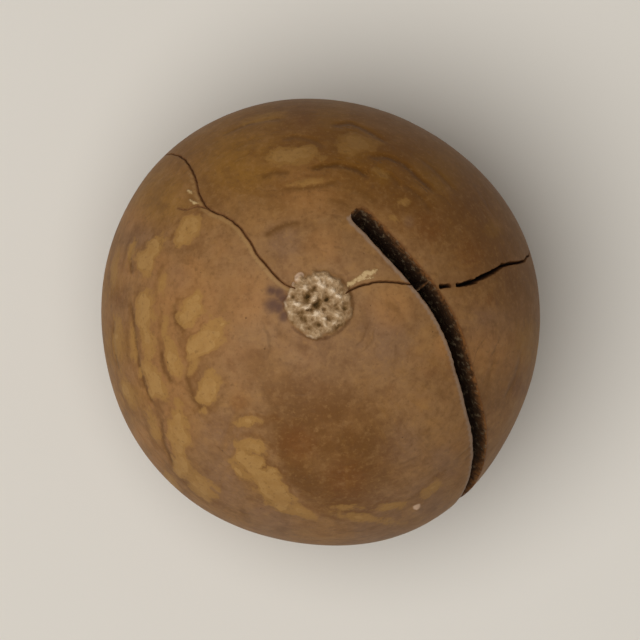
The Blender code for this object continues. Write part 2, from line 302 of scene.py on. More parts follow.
creaseForm = {
    # points as seen from above, then how strong each is
    "seen": (
        (((-0.70, 8.32), (0.20, 8.60), (0.94, 8.68), (2.03, 8.45), (2.90, 7.88)), 1.0),
        (((-2.40, 7.25), (-0.94, 7.33), (0.30, 7.50), (1.30, 7.78)), 0.5),
        (((-3.20, 4.50), (-2.66, 5.00), (-1.90, 5.32), (-0.90, 5.45)), 0.55),
        (((0.50, 10.80), (1.70, 11.02), (2.75, 10.55), (3.80, 9.85)), 1.0),
        (((2.45, 9.02), (3.75, 9.16), (4.70, 8.72), (5.50, 7.96), (6.55, 7.00)), 1.0),
        (((-5.60, 10.20), (-4.20, 10.90), (-3.00, 11.20), (-1.80, 11.20)), 0.5),
        (((-5.00, 9.40), (-3.80, 10.00), (-2.90, 10.15)), 0.35),
        (((1.60, 7.30), (2.60, 7.00), (3.30, 6.40)), 0.35),
        (((4.60, 7.60), (5.60, 6.90), (6.30, 5.90)), 0.45),
        (((8.90, -3.90), (9.60, -2.60), (9.90, -1.20)), 0.25),
        (((10.20, -4.60), (10.90, -3.20), (11.30, -1.60)), 0.35),
        (((0.20, 6.72), (1.25, 6.56), (2.00, 6.15)), 0.35),
        (((-3.40, 7.85), (-2.60, 8.25), (-1.50, 8.18)), 0.50),
        (((-2.30, 10.05), (-1.40, 10.25), (-0.30, 10.05), (0.40, 9.55)), 0.45),
        (((0.75, 9.30), (1.25, 10.35), (2.10, 10.62)), 0.40),
        (((3.10, 8.30), (3.90, 8.10), (4.60, 7.30)), 0.45),
        (((5.40, 9.20), (6.60, 8.20), (7.70, 7.00)), 0.45),
        (
            (
                (-10.62, 1.60), (-10.42, 0.00), (-10.28, -1.40),
                (-10.00, -2.90), (-9.50, -4.30), (-8.85, -5.20),
            ),
            0.58,
        ),
        (((-8.90, -1.50), (-8.70, -2.80), (-8.10, -3.70)), 0.55),
        (((-8.20, 1.10), (-8.00, -0.10), (-7.40, -0.75)), 0.45),
        (((-10.20, 4.70), (-10.62, 3.50), (-10.45, 2.40)), 0.55),
        (((-7.50, -2.80), (-7.05, -4.40), (-6.30, -5.20)), 0.50),
        (((-8.85, -5.20), (-8.72, -6.80), (-8.00, -8.40)), 0.55),
        (((-11.45, 0.40), (-11.55, -1.30), (-11.20, -3.00)), 0.45),
        (((-2.60, 0.00), (-2.20, -0.75), (-1.40, -1.35), (-0.30, -1.62)), 0.30),
        (((2.30, 1.00), (2.70, -0.20), (2.80, -1.50)), 0.22),
        (((3.60, 1.30), (4.60, 0.30), (5.30, -1.20)), 0.22),
    ),
    "hidden": 26,  # on the sides and underside
    "hiddenRise": (-75, -8),  # degrees
    "hiddenStrength": (0.3, 0.85),
    "hiddenStep": (2.2, 5.5),  # degrees between the five points of a crease
    "hiddenWander": 1.4,  # degrees
    "seed": 32,
    "reach": 0.60 * mm,
    "endShare": 0.16,  # of its length, over which a crease fades at each end
    "valleyWidth": 0.26 * mm,
    "valleyDepth": 0.055 * mm,
}


def besideLine(points, line, reach):
    # how far each point is from a line of points, below 0 on its right, and how far along the line that is
    away = np.full(len(points), reach)
    along = np.zeros(len(points))
    low = line.min(axis=0) - reach
    high = line.max(axis=0) + reach
    near = np.flatnonzero(np.all((points > low) & (points < high), axis=1))
    whole = np.linalg.norm(np.diff(line, axis=0), axis=1).sum()
    gone = 0.0
    for start, end in zip(line, line[1:]):
        run = end - start
        length = np.linalg.norm(run)
        share = np.clip((points[near] - start) @ run / length ** 2, 0, 1)
        gap = points[near] - start - share[:, None] * run
        distance = np.linalg.norm(gap, axis=1)
        side = np.where(gap @ np.cross(start, run) < 0, -1, 1)
        closer = distance < np.abs(away[near])
        away[near[closer]] = (distance * side)[closer]
        along[near[closer]] = ((gone + share * length) / whole)[closer]
        gone += length
    return away, along


def onRoundForm(seen):
    path = np.array([seenFromAbove(x, y) for x, y in seen])
    return path * roundForm(path)[:, None]


def creaseRuns():
    runs = [(onRoundForm(seen), strength) for seen, strength in creaseForm["seen"]]
    draw = random.Random(creaseForm["seed"])
    wander = creaseForm["hiddenWander"]
    for _ in range(creaseForm["hidden"]):
        turn = draw.uniform(0, 360)
        rise = draw.uniform(*creaseForm["hiddenRise"])
        strength = draw.uniform(*creaseForm["hiddenStrength"])
        step = draw.uniform(*creaseForm["hiddenStep"]) / math.cos(math.radians(rise))
        path = np.array([toward(turn + step * k, rise + draw.uniform(-wander, wander)) for k in range(5)])
        runs.append((path * roundForm(path)[:, None], strength))
    return runs


def nearestCrease(places):
    # how far each place is from its nearest crease, and how strong the crease is there
    away = np.full(len(places), creaseForm["reach"])
    strong = np.zeros(len(places))
    for run, strength in creaseRuns():
        gap, along = besideLine(places, run, creaseForm["reach"])
        closer = np.abs(gap) < np.abs(away)
        away[closer] = gap[closer]
        held = smoothStep(np.minimum(along, 1 - along) / creaseForm["endShare"])
        strong[closer] = (held * strength)[closer]
    return away, strong


def creaseShape(directions):
    away, strong = nearestCrease(directions * roundForm(directions)[:, None])
    return bell(away, creaseForm["valleyWidth"]) * strong * creaseForm["valleyDepth"]


def shellRadius(directions):
    pad, bumps = scarShape(directions)
    scar = pad * (scarForm["rise"] + bumps * scarForm["relief"])
    return roundForm(directions) + (skinShape(directions) - creaseShape(directions) + scar)


def cavityRadius(directions):
    fromScar = angleFrom(directions, pole)
    thicker = nutForm["scarWall"] * bell(fromScar, nutForm["wallSpread"])
    thicker += nutForm["farWall"] * bell(math.pi - fromScar, nutForm["wallSpread"])
    return nutForm["cavityRadius"] - thicker


def globe(name, rings, segments, radiusAt, centre, materials):
    # a closed round mesh about the scar's axis
    turns = np.arange(segments) * 2 * math.pi / segments
    polar = np.radians(rings)
    side = np.cos(turns)[:, None] * np.array(poleSide) + np.sin(turns)[:, None] * np.array(poleAcross)
    rise = np.cos(polar)[:, None, None] * np.array(pole)
    directions = (rise + np.sin(polar)[:, None, None] * side).reshape(-1, 3)
    directions = np.vstack([directions, np.array(pole), -np.array(pole)])
    points = directions * radiusAt(directions)[:, None] + np.array(centre)
    top = len(directions) - 2
    bottom = len(directions) - 1
    last = (len(rings) - 1) * segments
    faces = []
    for i in range(segments):
        j = (i + 1) % segments
        faces.append((top, i, j))
        faces.append((bottom, last + j, last + i))
        for row in range(0, last, segments):
            faces.append((row + i, row + segments + i, row + segments + j, row + j))
    return toObject(name, points, faces, materials)


# Finishes

def roastedSeedCoat():
    # The outside of a dry roasted seed coat: hard, dense and naturally smooth, so it has a low satin sheen,
    # a tan that varies in soft patches, ochre flecks with darker edges, fine dark pores and faint wrinkles.
    # Painted shade lies towards the top and the right and in the creases, painted shadow towards the upper
    # right and at the scar's edge, painted warm bounce light on the sides, and painted highlights beside the
    # left crack and in the middles of flecks.
    settings = {
        "tan": ("#987046", "#85623f"),
        "noises": {  # size in mm, detail, roughness and shift
            "patches": (4.5, 3.0, 0.55, 0),
            "blush": (2.6, 4.0, 0.55, 360),
            "blotch": (1.9, 5.0, 0.60, 280),
            "mottle": (0.9, 6.0, 0.62, 40),
            "speckle": (0.55, 3.0, 0.60, 440),
            "grain": (0.24, 4.0, 0.60, 80),  # drawn about twice as coarse as life so that it shows
            "edge": (0.42, 4.0, 0.65, 120),
            "crumbs": (0.15, 4.0, 0.65, 240),
            "waver": (3.4, 3.0, 0.50, 160),
            "breaks": (2.6, 3.0, 0.50, 320),
            "poreBeds": (2.4, 2.0, 0.50, 200),
        },
        "fields": (  # what markSkin writes on the mesh
            "topField", "rightField", "upperRightField", "sideField", "greyField", "warmField", "duskField",
            "redField", "rustField", "goldField", "ridgeField", "fleckField", "fleckShade", "wrinkleAway",
            "wrinkleShare", "crackField", "stainField", "rimField", "splinterField", "crumbField",
            "leftLipField", "rightLipField", "scarField", "grainField",
        ),
        # streaks run down from the scar like lines of longitude, and bands round it like lines of latitude:
        # how often each changes round the nut and down it, and its shift
        "runs": {"streaks": (9.0, 3.2, 12), "bands": (4.0, 11.0, 90)},
        "runsStart": (0.25, 0.75),  # radians from the scar's middle
        "wrinkleWidth": 0.36,  # mm
        "wrinkleWander": 0.26,  # mm
        "growthLines": 9.0,  # in each radian
        "poreSpacing": 0.9,  # mm
        "poreRadius": 0.075,  # mm
        # each layer lies over the ones before it: its mask, how ragged its edge is, where it starts and where
        # it is full, how much it covers there, and its two tones
        "layers": (
            ("blotch", 0.0, 0.50, 0.70, 0.50, "#9c703a", "#8d6436"),
            ("blotch", 0.0, 0.50, 0.30, 0.60, "#6c4928", "#744f2e"),
            ("blush", 0.0, 0.50, 0.72, 0.40, "#8f6238", "#845832"),
            ("mottle", 0.0, 0.50, 0.68, 0.45, "#6a4626", "#754f2c"),
            ("mottle", 0.0, 0.46, 0.32, 0.35, "#9d7442", "#93693a"),
            # towards the top: partly a more golden skin tone, partly painted shade
            ("topField", 0.40, 0.0, 1.0, 0.75, "#87591d", "#744a14"),
            # painted shade towards the right side
            ("rightField", 0.40, 0.0, 1.0, 0.45, "#815322", "#70471c"),
            # painted shadow towards the upper right
            ("upperRightField", 0.40, 0.0, 1.0, 0.70, "#6c420d", "#5e380d"),
            # painted warm bounce light on the sides
            ("sideField", 0.40, 0.0, 1.0, 0.55, "#95661f", "#83561a"),
            ("greyField", 0.45, 0.1, 0.9, 0.50, "#84644b", "#795a44"),
            ("duskField", 0.45, 0.1, 0.9, 0.60, "#6d481f", "#785128"),
            ("redField", 0.70, -0.30, 0.80, 0.85, "#5e3a13", "#6e461d"),
            ("warmField", 0.45, 0.1, 0.9, 0.48, "#aa7846", "#9d6c3a"),
            ("rustField", 0.60, 0.15, 0.90, 0.55, "#74441c", "#6a3e18"),
            ("goldField", 0.60, 0.10, 0.90, 0.55, "#986c22", "#8a5f1c"),
            ("blush", 0.0, 0.50, 0.32, 0.30, "#63421f", "#6f4b26"),
            ("blotch", 0.0, 0.52, 0.70, 0.28, "#a0764a", "#946b40"),
            ("streaks", 0.0, 0.52, 0.72, 0.30, "#9f7136", "#8c6230"),
            ("streaks", 0.0, 0.48, 0.29, 0.36, "#5f3e1d", "#6b4824"),
            ("bands", 0.0, 0.52, 0.72, 0.26, "#a27a4c", "#946b3f"),
            ("bands", 0.0, 0.48, 0.29, 0.30, "#5d3d1e", "#6a4724"),
            ("speckle", 0.0, 0.53, 0.70, 0.30, "#6a4725", "#75502b"),
            ("speckle", 0.0, 0.47, 0.32, 0.24, "#a47d50", "#987044"),
            ("growthLine", 0.0, 0.1, 0.9, 0.30, "#5d3f22", "#5d3f22"),
            ("fleckField", 0.90, -0.55, 0.0, 0.20, "#6c431a", "#754b20"),
            ("fleckShade", 0.90, 0.15, 0.95, 0.38, "#653c11", "#72491b"),
            # painted shade in and about the creases
            ("wrinkleShade", 0.0, 0.0, 1.0, 0.38, "#633d10", "#6d4614"),
            ("wrinkle", 0.0, 0.0, 0.9, 0.80, "#4f2e08", "#5a380d"),
            # darker beside the cracks
            ("crackField", 0.40, 0.10, 0.90, 0.70, "#5a3a1c", "#6b4826"),
            # a painted highlight beside the left crack
            ("ridgeField", 0.80, 0.10, 0.90, 0.50, "#aa8757", "#9c7848"),
            ("fleckField", 0.62, -0.10, 0.08, 0.76, "#a77d43", "#936c37"),
            ("fleckCore", 0.20, 0.34, 0.58, 0.50, "#b68f59", "#a98149"),
            # painted shadow towards the upper right, laid again over the flecks
            ("upperRightField", 0.40, 0.0, 1.0, 0.34, "#6e420a", "#603806"),
            # painted shade towards the top, laid again over the flecks
            ("topField", 0.40, 0.30, 1.0, 0.26, "#80530e", "#70460a"),
            ("grain", 0.0, 0.54, 0.72, 0.38, "#5f4122", "#6a4827"),
            ("grain", 0.0, 0.46, 0.30, 0.30, "#a47c4a", "#93693a"),
            ("pore", 0.0, 0.1, 0.9, 0.60, "#46301f", "#5a3d26"),
            ("stainField", 0.90, -0.10, 1.05, 0.90, "#4c3127", "#5e4030"),
            # painted shadow of the raised scar pad, along its edge
            ("rimField", 1.30, 0.15, 1.0, 0.65, "#5c3a18", "#4e3012"),
            ("splinterField", 1.20, 0.20, 0.90, 0.50, "#a08052", "#8a6c42"),
            ("splinterBits", 0.50, 0.22, 0.50, 0.90, "#d4b689", "#b2935f"),
            ("crumbField", 0.20, 0.2, 0.7, 0.90, "#d3b397", "#bd9a7d"),
            ("leftLipField", 0.30, 0.10, 0.80, 0.75, "#947d68", "#866d5b"),
            ("rightLipField", 0.45, 0.2, 0.9, 0.60, "#6a3d1a", "#5b3a1c"),
        ),
        "scarTones": (
            (0.24, "#3b290e"), (0.42, "#644926"), (0.60, "#886946"), (0.80, "#b0926e"), (1.00, "#dcc3a4"),
        ),
        "scarCrumbs": 0.46,
        "roughness": (0.50, 0.64),
        "fleckDull": 0.08,
        "scarDull": 0.30,
        "grainRelief": 0.009,  # mm
        "relief": {  # mm
            "mottle": 0.022,
            "streaks": 0.030,
            "bands": 0.025,
            "fleckCover": 0.007,
            "wrinkle": -0.035,
            "blotch": 0.030,
            "growthLine": -0.010,
            "pore": -0.020,
            "splinterCover": 0.060,
            "scarCrumbs": 0.09,
        },
    }
    material, tree, surface, inMm = newMaterial("roasted seed coat")
    part = {}
    for name in settings["fields"]:
        part[name] = addNode(tree, "Attribute", {"attribute_name": name}, give="Fac")
    for name, (size, detail, rough, shift) in settings["noises"].items():
        moved = addNode(tree, "VectorMath", {"operation": "ADD", 1: (shift, -shift, shift / 2)}, {0: inMm})
        look = {"Scale": 1 / size, "Detail": detail, "Roughness": rough}
        part[name] = addNode(tree, "TexNoise", look, {"Vector": moved})

    # where each point lies about the scar, then the streaks and bands that follow it
    fromMiddle = addNode(tree, "VectorMath", {"operation": "SUBTRACT", 1: tuple(middle / mm)}, {0: inMm})
    outward = addNode(tree, "VectorMath", {"operation": "NORMALIZE"}, {0: fromMiddle})
    look = {"operation": "DOT_PRODUCT", 1: tuple(pole)}
    towardScar = addNode(tree, "VectorMath", look, {0: outward}, "Value")
    latitude = addNode(tree, "Math", {"operation": "ARCCOSINE"}, {0: towardScar})
    alongPole = addNode(tree, "VectorMath", {"operation": "PROJECT", 1: tuple(pole)}, {0: outward})
    sideways = addNode(tree, "VectorMath", {"operation": "SUBTRACT"}, {0: outward, 1: alongPole})
    compass = addNode(tree, "VectorMath", {"operation": "NORMALIZE"}, {0: sideways})
    begin, full = settings["runsStart"]
    look = {"interpolation_type": "SMOOTHSTEP", "From Min": begin, "From Max": full}
    clearOfScar = addNode(tree, "MapRange", look, {"Value": latitude})
    for name, (spin, down, shift) in settings["runs"].items():
        spun = addNode(tree, "VectorMath", {"operation": "SCALE", "Scale": spin}, {0: compass})
        fall = addNode(tree, "Math", {"operation": "MULTIPLY", 1: down}, {0: latitude})
        drop = addNode(tree, "CombineXYZ", {"X": shift, "Y": -shift}, {"Z": fall})
        place = addNode(tree, "VectorMath", {"operation": "ADD"}, {0: spun, 1: drop})
        look = {"Scale": 1.0, "Detail": 5.0, "Roughness": 0.6, "Distortion": 0.7}
        drawn = addNode(tree, "TexNoise", look, {"Vector": place})
        eased = addNode(tree, "Math", {"operation": "SUBTRACT", 1: 0.5}, {0: drawn})
        held = addNode(tree, "Math", {"operation": "MULTIPLY"}, {0: eased, 1: clearOfScar})
        part[name] = addNode(tree, "Math", {"operation": "ADD", 1: 0.5}, {0: held})

    # wrinkles: creases along measured lines, a little ragged, painted dark as shade in them, with a softer
    # painted shade about them
    look = {"operation": "MULTIPLY_ADD", 1: settings["wrinkleWander"]}
    moved = addNode(tree, "Math", look, {0: part["edge"], 2: part["wrinkleAway"]})
    centred = addNode(tree, "Math", {"operation": "SUBTRACT", 1: settings["wrinkleWander"] / 2}, {0: moved})
    creaseNear = addNode(tree, "Math", {"operation": "ABSOLUTE"}, {0: centred})
    lines = {}
    for name, widths in (("wrinkle", 1), ("wrinkleShade", 2)):
        reach = settings["wrinkleWidth"] * widths
        look = {"interpolation_type": "SMOOTHSTEP", "From Min": reach, "From Max": 0.0}
        lines[name] = addNode(tree, "MapRange", look, {"Value": creaseNear})

    # faint growth lines, broken up, run round the scar
    wavy = addNode(tree, "Math", {"operation": "MULTIPLY_ADD", 1: 0.30}, {0: part["waver"], 2: latitude})
    look = {"voronoi_dimensions": "1D", "feature": "DISTANCE_TO_EDGE", "Scale": settings["growthLines"]}
    between = addNode(tree, "TexVoronoi", look, {"W": wavy})
    look = {"interpolation_type": "SMOOTHSTEP", "From Min": 0.13, "From Max": 0.0}
    thinLine = addNode(tree, "MapRange", look, {"Value": between})
    broken = addNode(tree, "MapRange", {"From Min": 0.52, "From Max": 0.66}, {"Value": part["breaks"]})

    # pores: round dots, most of them thinned out by a broad noise
    look = {"Scale": 1 / settings["poreSpacing"], "Randomness": 1.0}
    dots = addNode(tree, "TexVoronoi", look, {"Vector": inMm})
    look = {"From Min": settings["poreRadius"], "From Max": settings["poreRadius"] * 0.4}
    dot = addNode(tree, "MapRange", look, {"Value": dots})
    fewer = addNode(tree, "MapRange", {"From Min": 0.48, "From Max": 0.60}, {"Value": part["poreBeds"]})

    # the middle of a fleck is paler in places, partly its own tone and partly a painted highlight, and
    # splinters break up into bits
    look = {"interpolation_type": "SMOOTHSTEP", "From Min": 0.02, "From Max": 0.24}
    wellInside = addNode(tree, "MapRange", look, {"Value": part["fleckField"]})
    for name, mask, share in (
        ("wrinkle", lines["wrinkle"], part["wrinkleShare"]),
        ("wrinkleShade", lines["wrinkleShade"], part["wrinkleShare"]),
        ("growthLine", thinLine, broken),
        ("pore", dot, fewer),
        ("fleckCore", wellInside, part["mottle"]),
        ("splinterBits", part["splinterField"], part["crumbs"]),
    ):
        part[name] = addNode(tree, "Math", {"operation": "MULTIPLY"}, {0: mask, 1: share})

    look = {"data_type": "RGBA", 6: hexColour(settings["tan"][0]), 7: hexColour(settings["tan"][1])}
    colour = addNode(tree, "Mix", look, {0: part["patches"]}, 2)
    covered = {}
    for name, ragged, start, full, cover, toneA, toneB in settings["layers"]:
        uneven = part[name]
        if ragged:
            look = {"operation": "MULTIPLY_ADD", 1: ragged}
            uneven = addNode(tree, "Math", look, {0: part["edge"], 2: uneven})
        look = {
            "interpolation_type": "SMOOTHSTEP",
            "From Min": start + ragged / 2,
            "From Max": full + ragged / 2,
            "To Max": cover,
        }
        covered[name] = addNode(tree, "MapRange", look, {"Value": uneven})
        look = {"data_type": "RGBA", 6: hexColour(toneA), 7: hexColour(toneB)}
        tone = addNode(tree, "Mix", look, {0: part["mottle"]}, 2)
        colour = addNode(tree, "Mix", {"data_type": "RGBA"}, {0: covered[name], 6: colour, 7: tone}, 2)

    # the scar: pale corky grains with dark pits between them
    scarMask = addNode(tree, "MapRange", {"From Min": 0.20, "From Max": 0.90}, {"Value": part["scarField"]})
    look = {"operation": "MULTIPLY_ADD", 1: settings["scarCrumbs"]}
    grainTone = addNode(tree, "Math", look, {0: part["crumbs"], 2: part["grainField"]})
    scarColour = addNode(tree, "ValToRGB", {"stops": settings["scarTones"]}, {"Fac": grainTone})
    colour = addNode(tree, "Mix", {"data_type": "RGBA"}, {0: scarMask, 6: colour, 7: scarColour}, 2)

    # satin skin, duller flecks and a matt scar
    look = {"To Min": settings["roughness"][0], "To Max": settings["roughness"][1]}
    dull = addNode(tree, "MapRange", look, {"Value": part["mottle"]})
    for source, more in ((covered["fleckField"], settings["fleckDull"]), (scarMask, settings["scarDull"])):
        look = {"operation": "MULTIPLY_ADD", "use_clamp": True, 1: more}
        dull = addNode(tree, "Math", look, {0: source, 2: dull})

    part["fleckCover"] = covered["fleckField"]
    part["splinterCover"] = covered["splinterField"]
    part["scarCrumbs"] = addNode(tree, "Math", {"operation": "MULTIPLY"}, {0: part["crumbs"], 1: scarMask})
    look = {"operation": "MULTIPLY", 1: settings["grainRelief"]}
    height = addNode(tree, "Math", look, {0: part["grain"]})
    for name, amount in settings["relief"].items():
        look = {"operation": "MULTIPLY_ADD", 1: amount}
        height = addNode(tree, "Math", look, {0: part[name], 2: height})
    bump = addNode(tree, "Bump", {"Strength": 1.0, "Distance": 1 * mm}, {"Height": height})
    links = {"Base Color": colour, "Roughness": dull, "Normal": bump}
    setNode(tree, surface, {"IOR": 1.5, "Specular IOR Level": 0.15}, links)
    return material


def sawnSeedCoat():
    # The cut through the seed coat: stony fibres torn by the saw, dark, matt and rough; darker with depth as
    # painted shade, nearly black deep down, and a little browner at the top.
    settings = {
        "fibreSize": 0.5,  # mm
        "speckSize": 0.30,  # mm
        # darker with depth: painted shade in the cut
        "tones": ((0.00, "#7a4f28"), (0.24, "#5f3d20"), (0.58, "#3d2713"), (1.00, "#2b1a0d")),
        "speckTone": "#7c6a50",
        "relief": 0.10 * mm,
    }
    material, tree, surface, inMm = newMaterial("sawn seed coat")
    depth = addNode(tree, "Attribute", {"attribute_name": "depthField"}, give="Fac")
    look = {"Scale": 1 / settings["fibreSize"], "Detail": 6.0, "Roughness": 0.7, "Distortion": 1.2}
    fibres = addNode(tree, "TexNoise", look, {"Vector": inMm})
    look = {"Scale": 1 / settings["speckSize"], "Detail": 4.0, "Roughness": 0.6}
    speck = addNode(tree, "TexNoise", look, {"Vector": inMm})
    mixed = addNode(tree, "Math", {"operation": "MULTIPLY_ADD", 1: 2.2, 2: -1.0}, {0: fibres})
    level = addNode(tree, "Math", {"operation": "ADD"}, {0: mixed, 1: depth})
    tone = addNode(tree, "ValToRGB", {"stops": settings["tones"]}, {"Fac": level})
    pale = addNode(tree, "MapRange", {"From Min": 0.55, "From Max": 0.66, "To Max": 0.60}, {"Value": speck})
    look = {"data_type": "RGBA", 7: hexColour(settings["speckTone"])}
    tone = addNode(tree, "Mix", look, {0: pale, 6: tone}, 2)
    height = addNode(tree, "Math", {"operation": "ADD"}, {0: fibres, 1: speck})
    bump = addNode(tree, "Bump", {"Strength": 1.0, "Distance": settings["relief"]}, {"Height": height})
    values = {"Roughness": 0.9, "IOR": 1.5, "Specular IOR Level": 0.12}
    setNode(tree, surface, values, {"Base Color": tone, "Normal": bump})
    return material


def crackedSeedCoat():
    # The walls of a crack: dry fibre, brown near the skin and dark deep down, where the dark is painted
    # shade, and matt.
    settings = {
        "fibreSize": 0.25,  # mm
        "tones": ((0.00, "#7a5230"), (0.12, "#553517"), (0.32, "#30190a"), (0.60, "#170b04")),
        "relief": 0.04 * mm,
    }
    material, tree, surface, inMm = newMaterial("cracked seed coat")
    depth = addNode(tree, "Attribute", {"attribute_name": "depthField"}, give="Fac")
    look = {"Scale": 1 / settings["fibreSize"], "Detail": 4.0, "Roughness": 0.6}
    fibres = addNode(tree, "TexNoise", look, {"Vector": inMm})
    uneven = addNode(tree, "Math", {"operation": "MULTIPLY_ADD", 1: 0.30, 2: -0.15}, {0: fibres})
    level = addNode(tree, "Math", {"operation": "ADD"}, {0: uneven, 1: depth})
    tone = addNode(tree, "ValToRGB", {"stops": settings["tones"]}, {"Fac": level})
    bump = addNode(tree, "Bump", {"Strength": 1.0, "Distance": settings["relief"]}, {"Height": fibres})
    values = {"Roughness": 0.85, "Specular IOR Level": 0.12}
    setNode(tree, surface, values, {"Base Color": tone, "Normal": bump})
    return material


def brokenLip():
    # The thin broken edge of the seed coat beside a cut: freshly exposed fibre, paler than the skin and matt.
    settings = {
        "chipSize": 0.5,  # mm
        "tones": ((0.35, "#6d4c30"), (0.55, "#8a6c52"), (0.72, "#a28a76")),
        "relief": 0.03 * mm,
    }
    material, tree, surface, inMm = newMaterial("broken seed coat lip")
    look = {"Scale": 1 / settings["chipSize"], "Detail": 4.0, "Roughness": 0.7}
    chips = addNode(tree, "TexNoise", look, {"Vector": inMm})
    tone = addNode(tree, "ValToRGB", {"stops": settings["tones"]}, {"Fac": chips})
    bump = addNode(tree, "Bump", {"Strength": 1.0, "Distance": settings["relief"]}, {"Height": chips})
    setNode(tree, surface, {"Roughness": 0.7}, {"Base Color": tone, "Normal": bump})
    return material


def innerSeedCoat():
    # The lining of the cavity: polished by the growing kernel, so it is glossy, brown towards the scar and
    # cream below.
    settings = {
        "cloudSize": 2.5,  # mm
        "cloudDepth": 4.0,  # how far the clouds push the change of tone up or down, in mm
        "change": (11.0, 14.5),  # mm above the floor
        "tones": ((0.0, "#c9b08a"), (0.5, "#94704a"), (1.0, "#553621")),
        "relief": 0.03 * mm,
    }
    material, tree, surface, inMm = newMaterial("inner seed coat")
    height = addNode(tree, "SeparateXYZ", {}, {"Vector": inMm}, "Z")
    cloud = addNode(tree, "TexNoise", {"Scale": 1 / settings["cloudSize"], "Detail": 5.0}, {"Vector": inMm})
    look = {"operation": "MULTIPLY_ADD", 1: settings["cloudDepth"]}
    level = addNode(tree, "Math", look, {0: cloud, 2: height})
    look = {"From Min": settings["change"][0], "From Max": settings["change"][1]}
    share = addNode(tree, "MapRange", look, {"Value": level})
    tone = addNode(tree, "ValToRGB", {"stops": settings["tones"]}, {"Fac": share})
    bump = addNode(tree, "Bump", {"Strength": 0.6, "Distance": settings["relief"]}, {"Height": cloud})
    setNode(tree, surface, {"Roughness": 0.3}, {"Base Color": tone, "Normal": bump})
    return material


def kernelFlesh():
    # Roasted kernel: dense oily flesh, cream with toasted patches, satin, with a little light passing
    # through it.
    settings = {
        "toastSize": 3.2,  # mm
        "fineSize": 0.35,  # mm
        "tones": ((0.3, "#eadbb8"), (0.55, "#dcc493"), (0.75, "#bd955c")),
        "roughness": (0.34, 0.5),
        "relief": 0.04 * mm,
        "glow": {
            "Subsurface Weight": 0.12,
            "Subsurface Radius": (1.0, 0.7, 0.4),
            "Subsurface Scale": 1.2 * mm,
            "IOR": 1.47,
        },
    }
    material, tree, surface, inMm = newMaterial("roasted kernel flesh")
    look = {"Scale": 1 / settings["toastSize"], "Detail": 6.0, "Roughness": 0.6}
    toast = addNode(tree, "TexNoise", look, {"Vector": inMm})
    fine = addNode(tree, "TexNoise", {"Scale": 1 / settings["fineSize"], "Detail": 4.0}, {"Vector": inMm})
    tone = addNode(tree, "ValToRGB", {"stops": settings["tones"]}, {"Fac": toast})
    look = {"To Min": settings["roughness"][0], "To Max": settings["roughness"][1]}
    shine = addNode(tree, "MapRange", look, {"Value": fine})
    bump = addNode(tree, "Bump", {"Strength": 1.0, "Distance": settings["relief"]}, {"Height": fine})
    setNode(tree, surface, settings["glow"], {"Base Color": tone, "Roughness": shine, "Normal": bump})
    return material


seedCoat = roastedSeedCoat()
sawnWall = sawnSeedCoat()
crackWall = crackedSeedCoat()
lipBreak = brokenLip()
lining = innerSeedCoat()
flesh = kernelFlesh()
print("finishes made")


# The saw slot

slotForm = {
    "normal": Vector((0.700, 0.550, -0.455)).normalized(),
    "offset": -0.24 * mm,
    "width": 1.10 * mm,
    "depth": 2.85 * mm,
    "start": math.radians(-17),
    "end": math.radians(138),
    "sawRadius": 16.0 * mm,
    "clear": 14.6 * mm,
    "margin": 0.5 * mm,
    "turnStep": math.radians(0.5),
    "wallRows": 22,
    "wallRough": 0.07 * mm,
    # what makes it rough: how long and how high each lump is in mm, and its share
    "wallLumps": (1.6, 0.24, 0.6),
    "wallFibres": (0.33, 0.30, 0.5),
    # how wide and how deep the broken lip is, on the left and on the right of the slot
    "lipWide": {-1: 0.11 * mm, 1: 0.05 * mm},
    "lipDeep": {-1: 0.05 * mm, 1: 0.12 * mm},
    "lipChips": (0.45, 0.55, 0.9),  # size in mm, least share and how much more
    "bigChip": 0.14 * mm,
    "bigChips": (1.3, 0.22),  # size in mm, and how much of the noise is left out
    "leastWall": 0.05 * mm,
    "leastLip": 0.03 * mm,
    # the blunt ends: how far the floor drops at once, and over what length
    "endDrop": 0.8 * mm,
    "endRun": 0.45 * mm,
    "endRound": 0.55 * mm,
    "endLeast": 0.08,
    # the nut rocked a little under the saw: degrees along the slot, and how far right of its plane it lies
    "wander": (
        (-17, 0.03), (-10, 0.08), (-3, 0.14), (3, 0.25), (9, 0.38), (15, 0.48), (20, 0.50), (26, 0.44),
        (31, 0.30), (36, 0.17), (42, 0.10), (48, 0.13), (55, 0.25), (62, 0.34), (71, 0.42), (87, 0.42),
        (110, 0.30), (138, 0.10),
    ),
    # a sliver that still bridges the slot, in line with the crack
    "bridgeTurn": math.radians(9.7),
    "bridgeSpread": math.radians(0.8),
    "bridgeDrop": 0.32 * mm,
}
slotHigh = (Vector((0, 0, 1)) - slotForm["normal"] * slotForm["normal"].z).normalized()
slotOnward = slotForm["normal"].cross(slotHigh)
if slotOnward.y > 0:
    slotOnward = -slotOnward


def slotWander(turns):
    # how far the slot lies right of its plane
    places, shifts = np.array(slotForm["wander"]).T
    soft = [np.interp(np.degrees(turns) + ease, places, shifts) for ease in (-4, -2, 0, 2, 4)]
    return np.mean(soft, axis=0) * mm


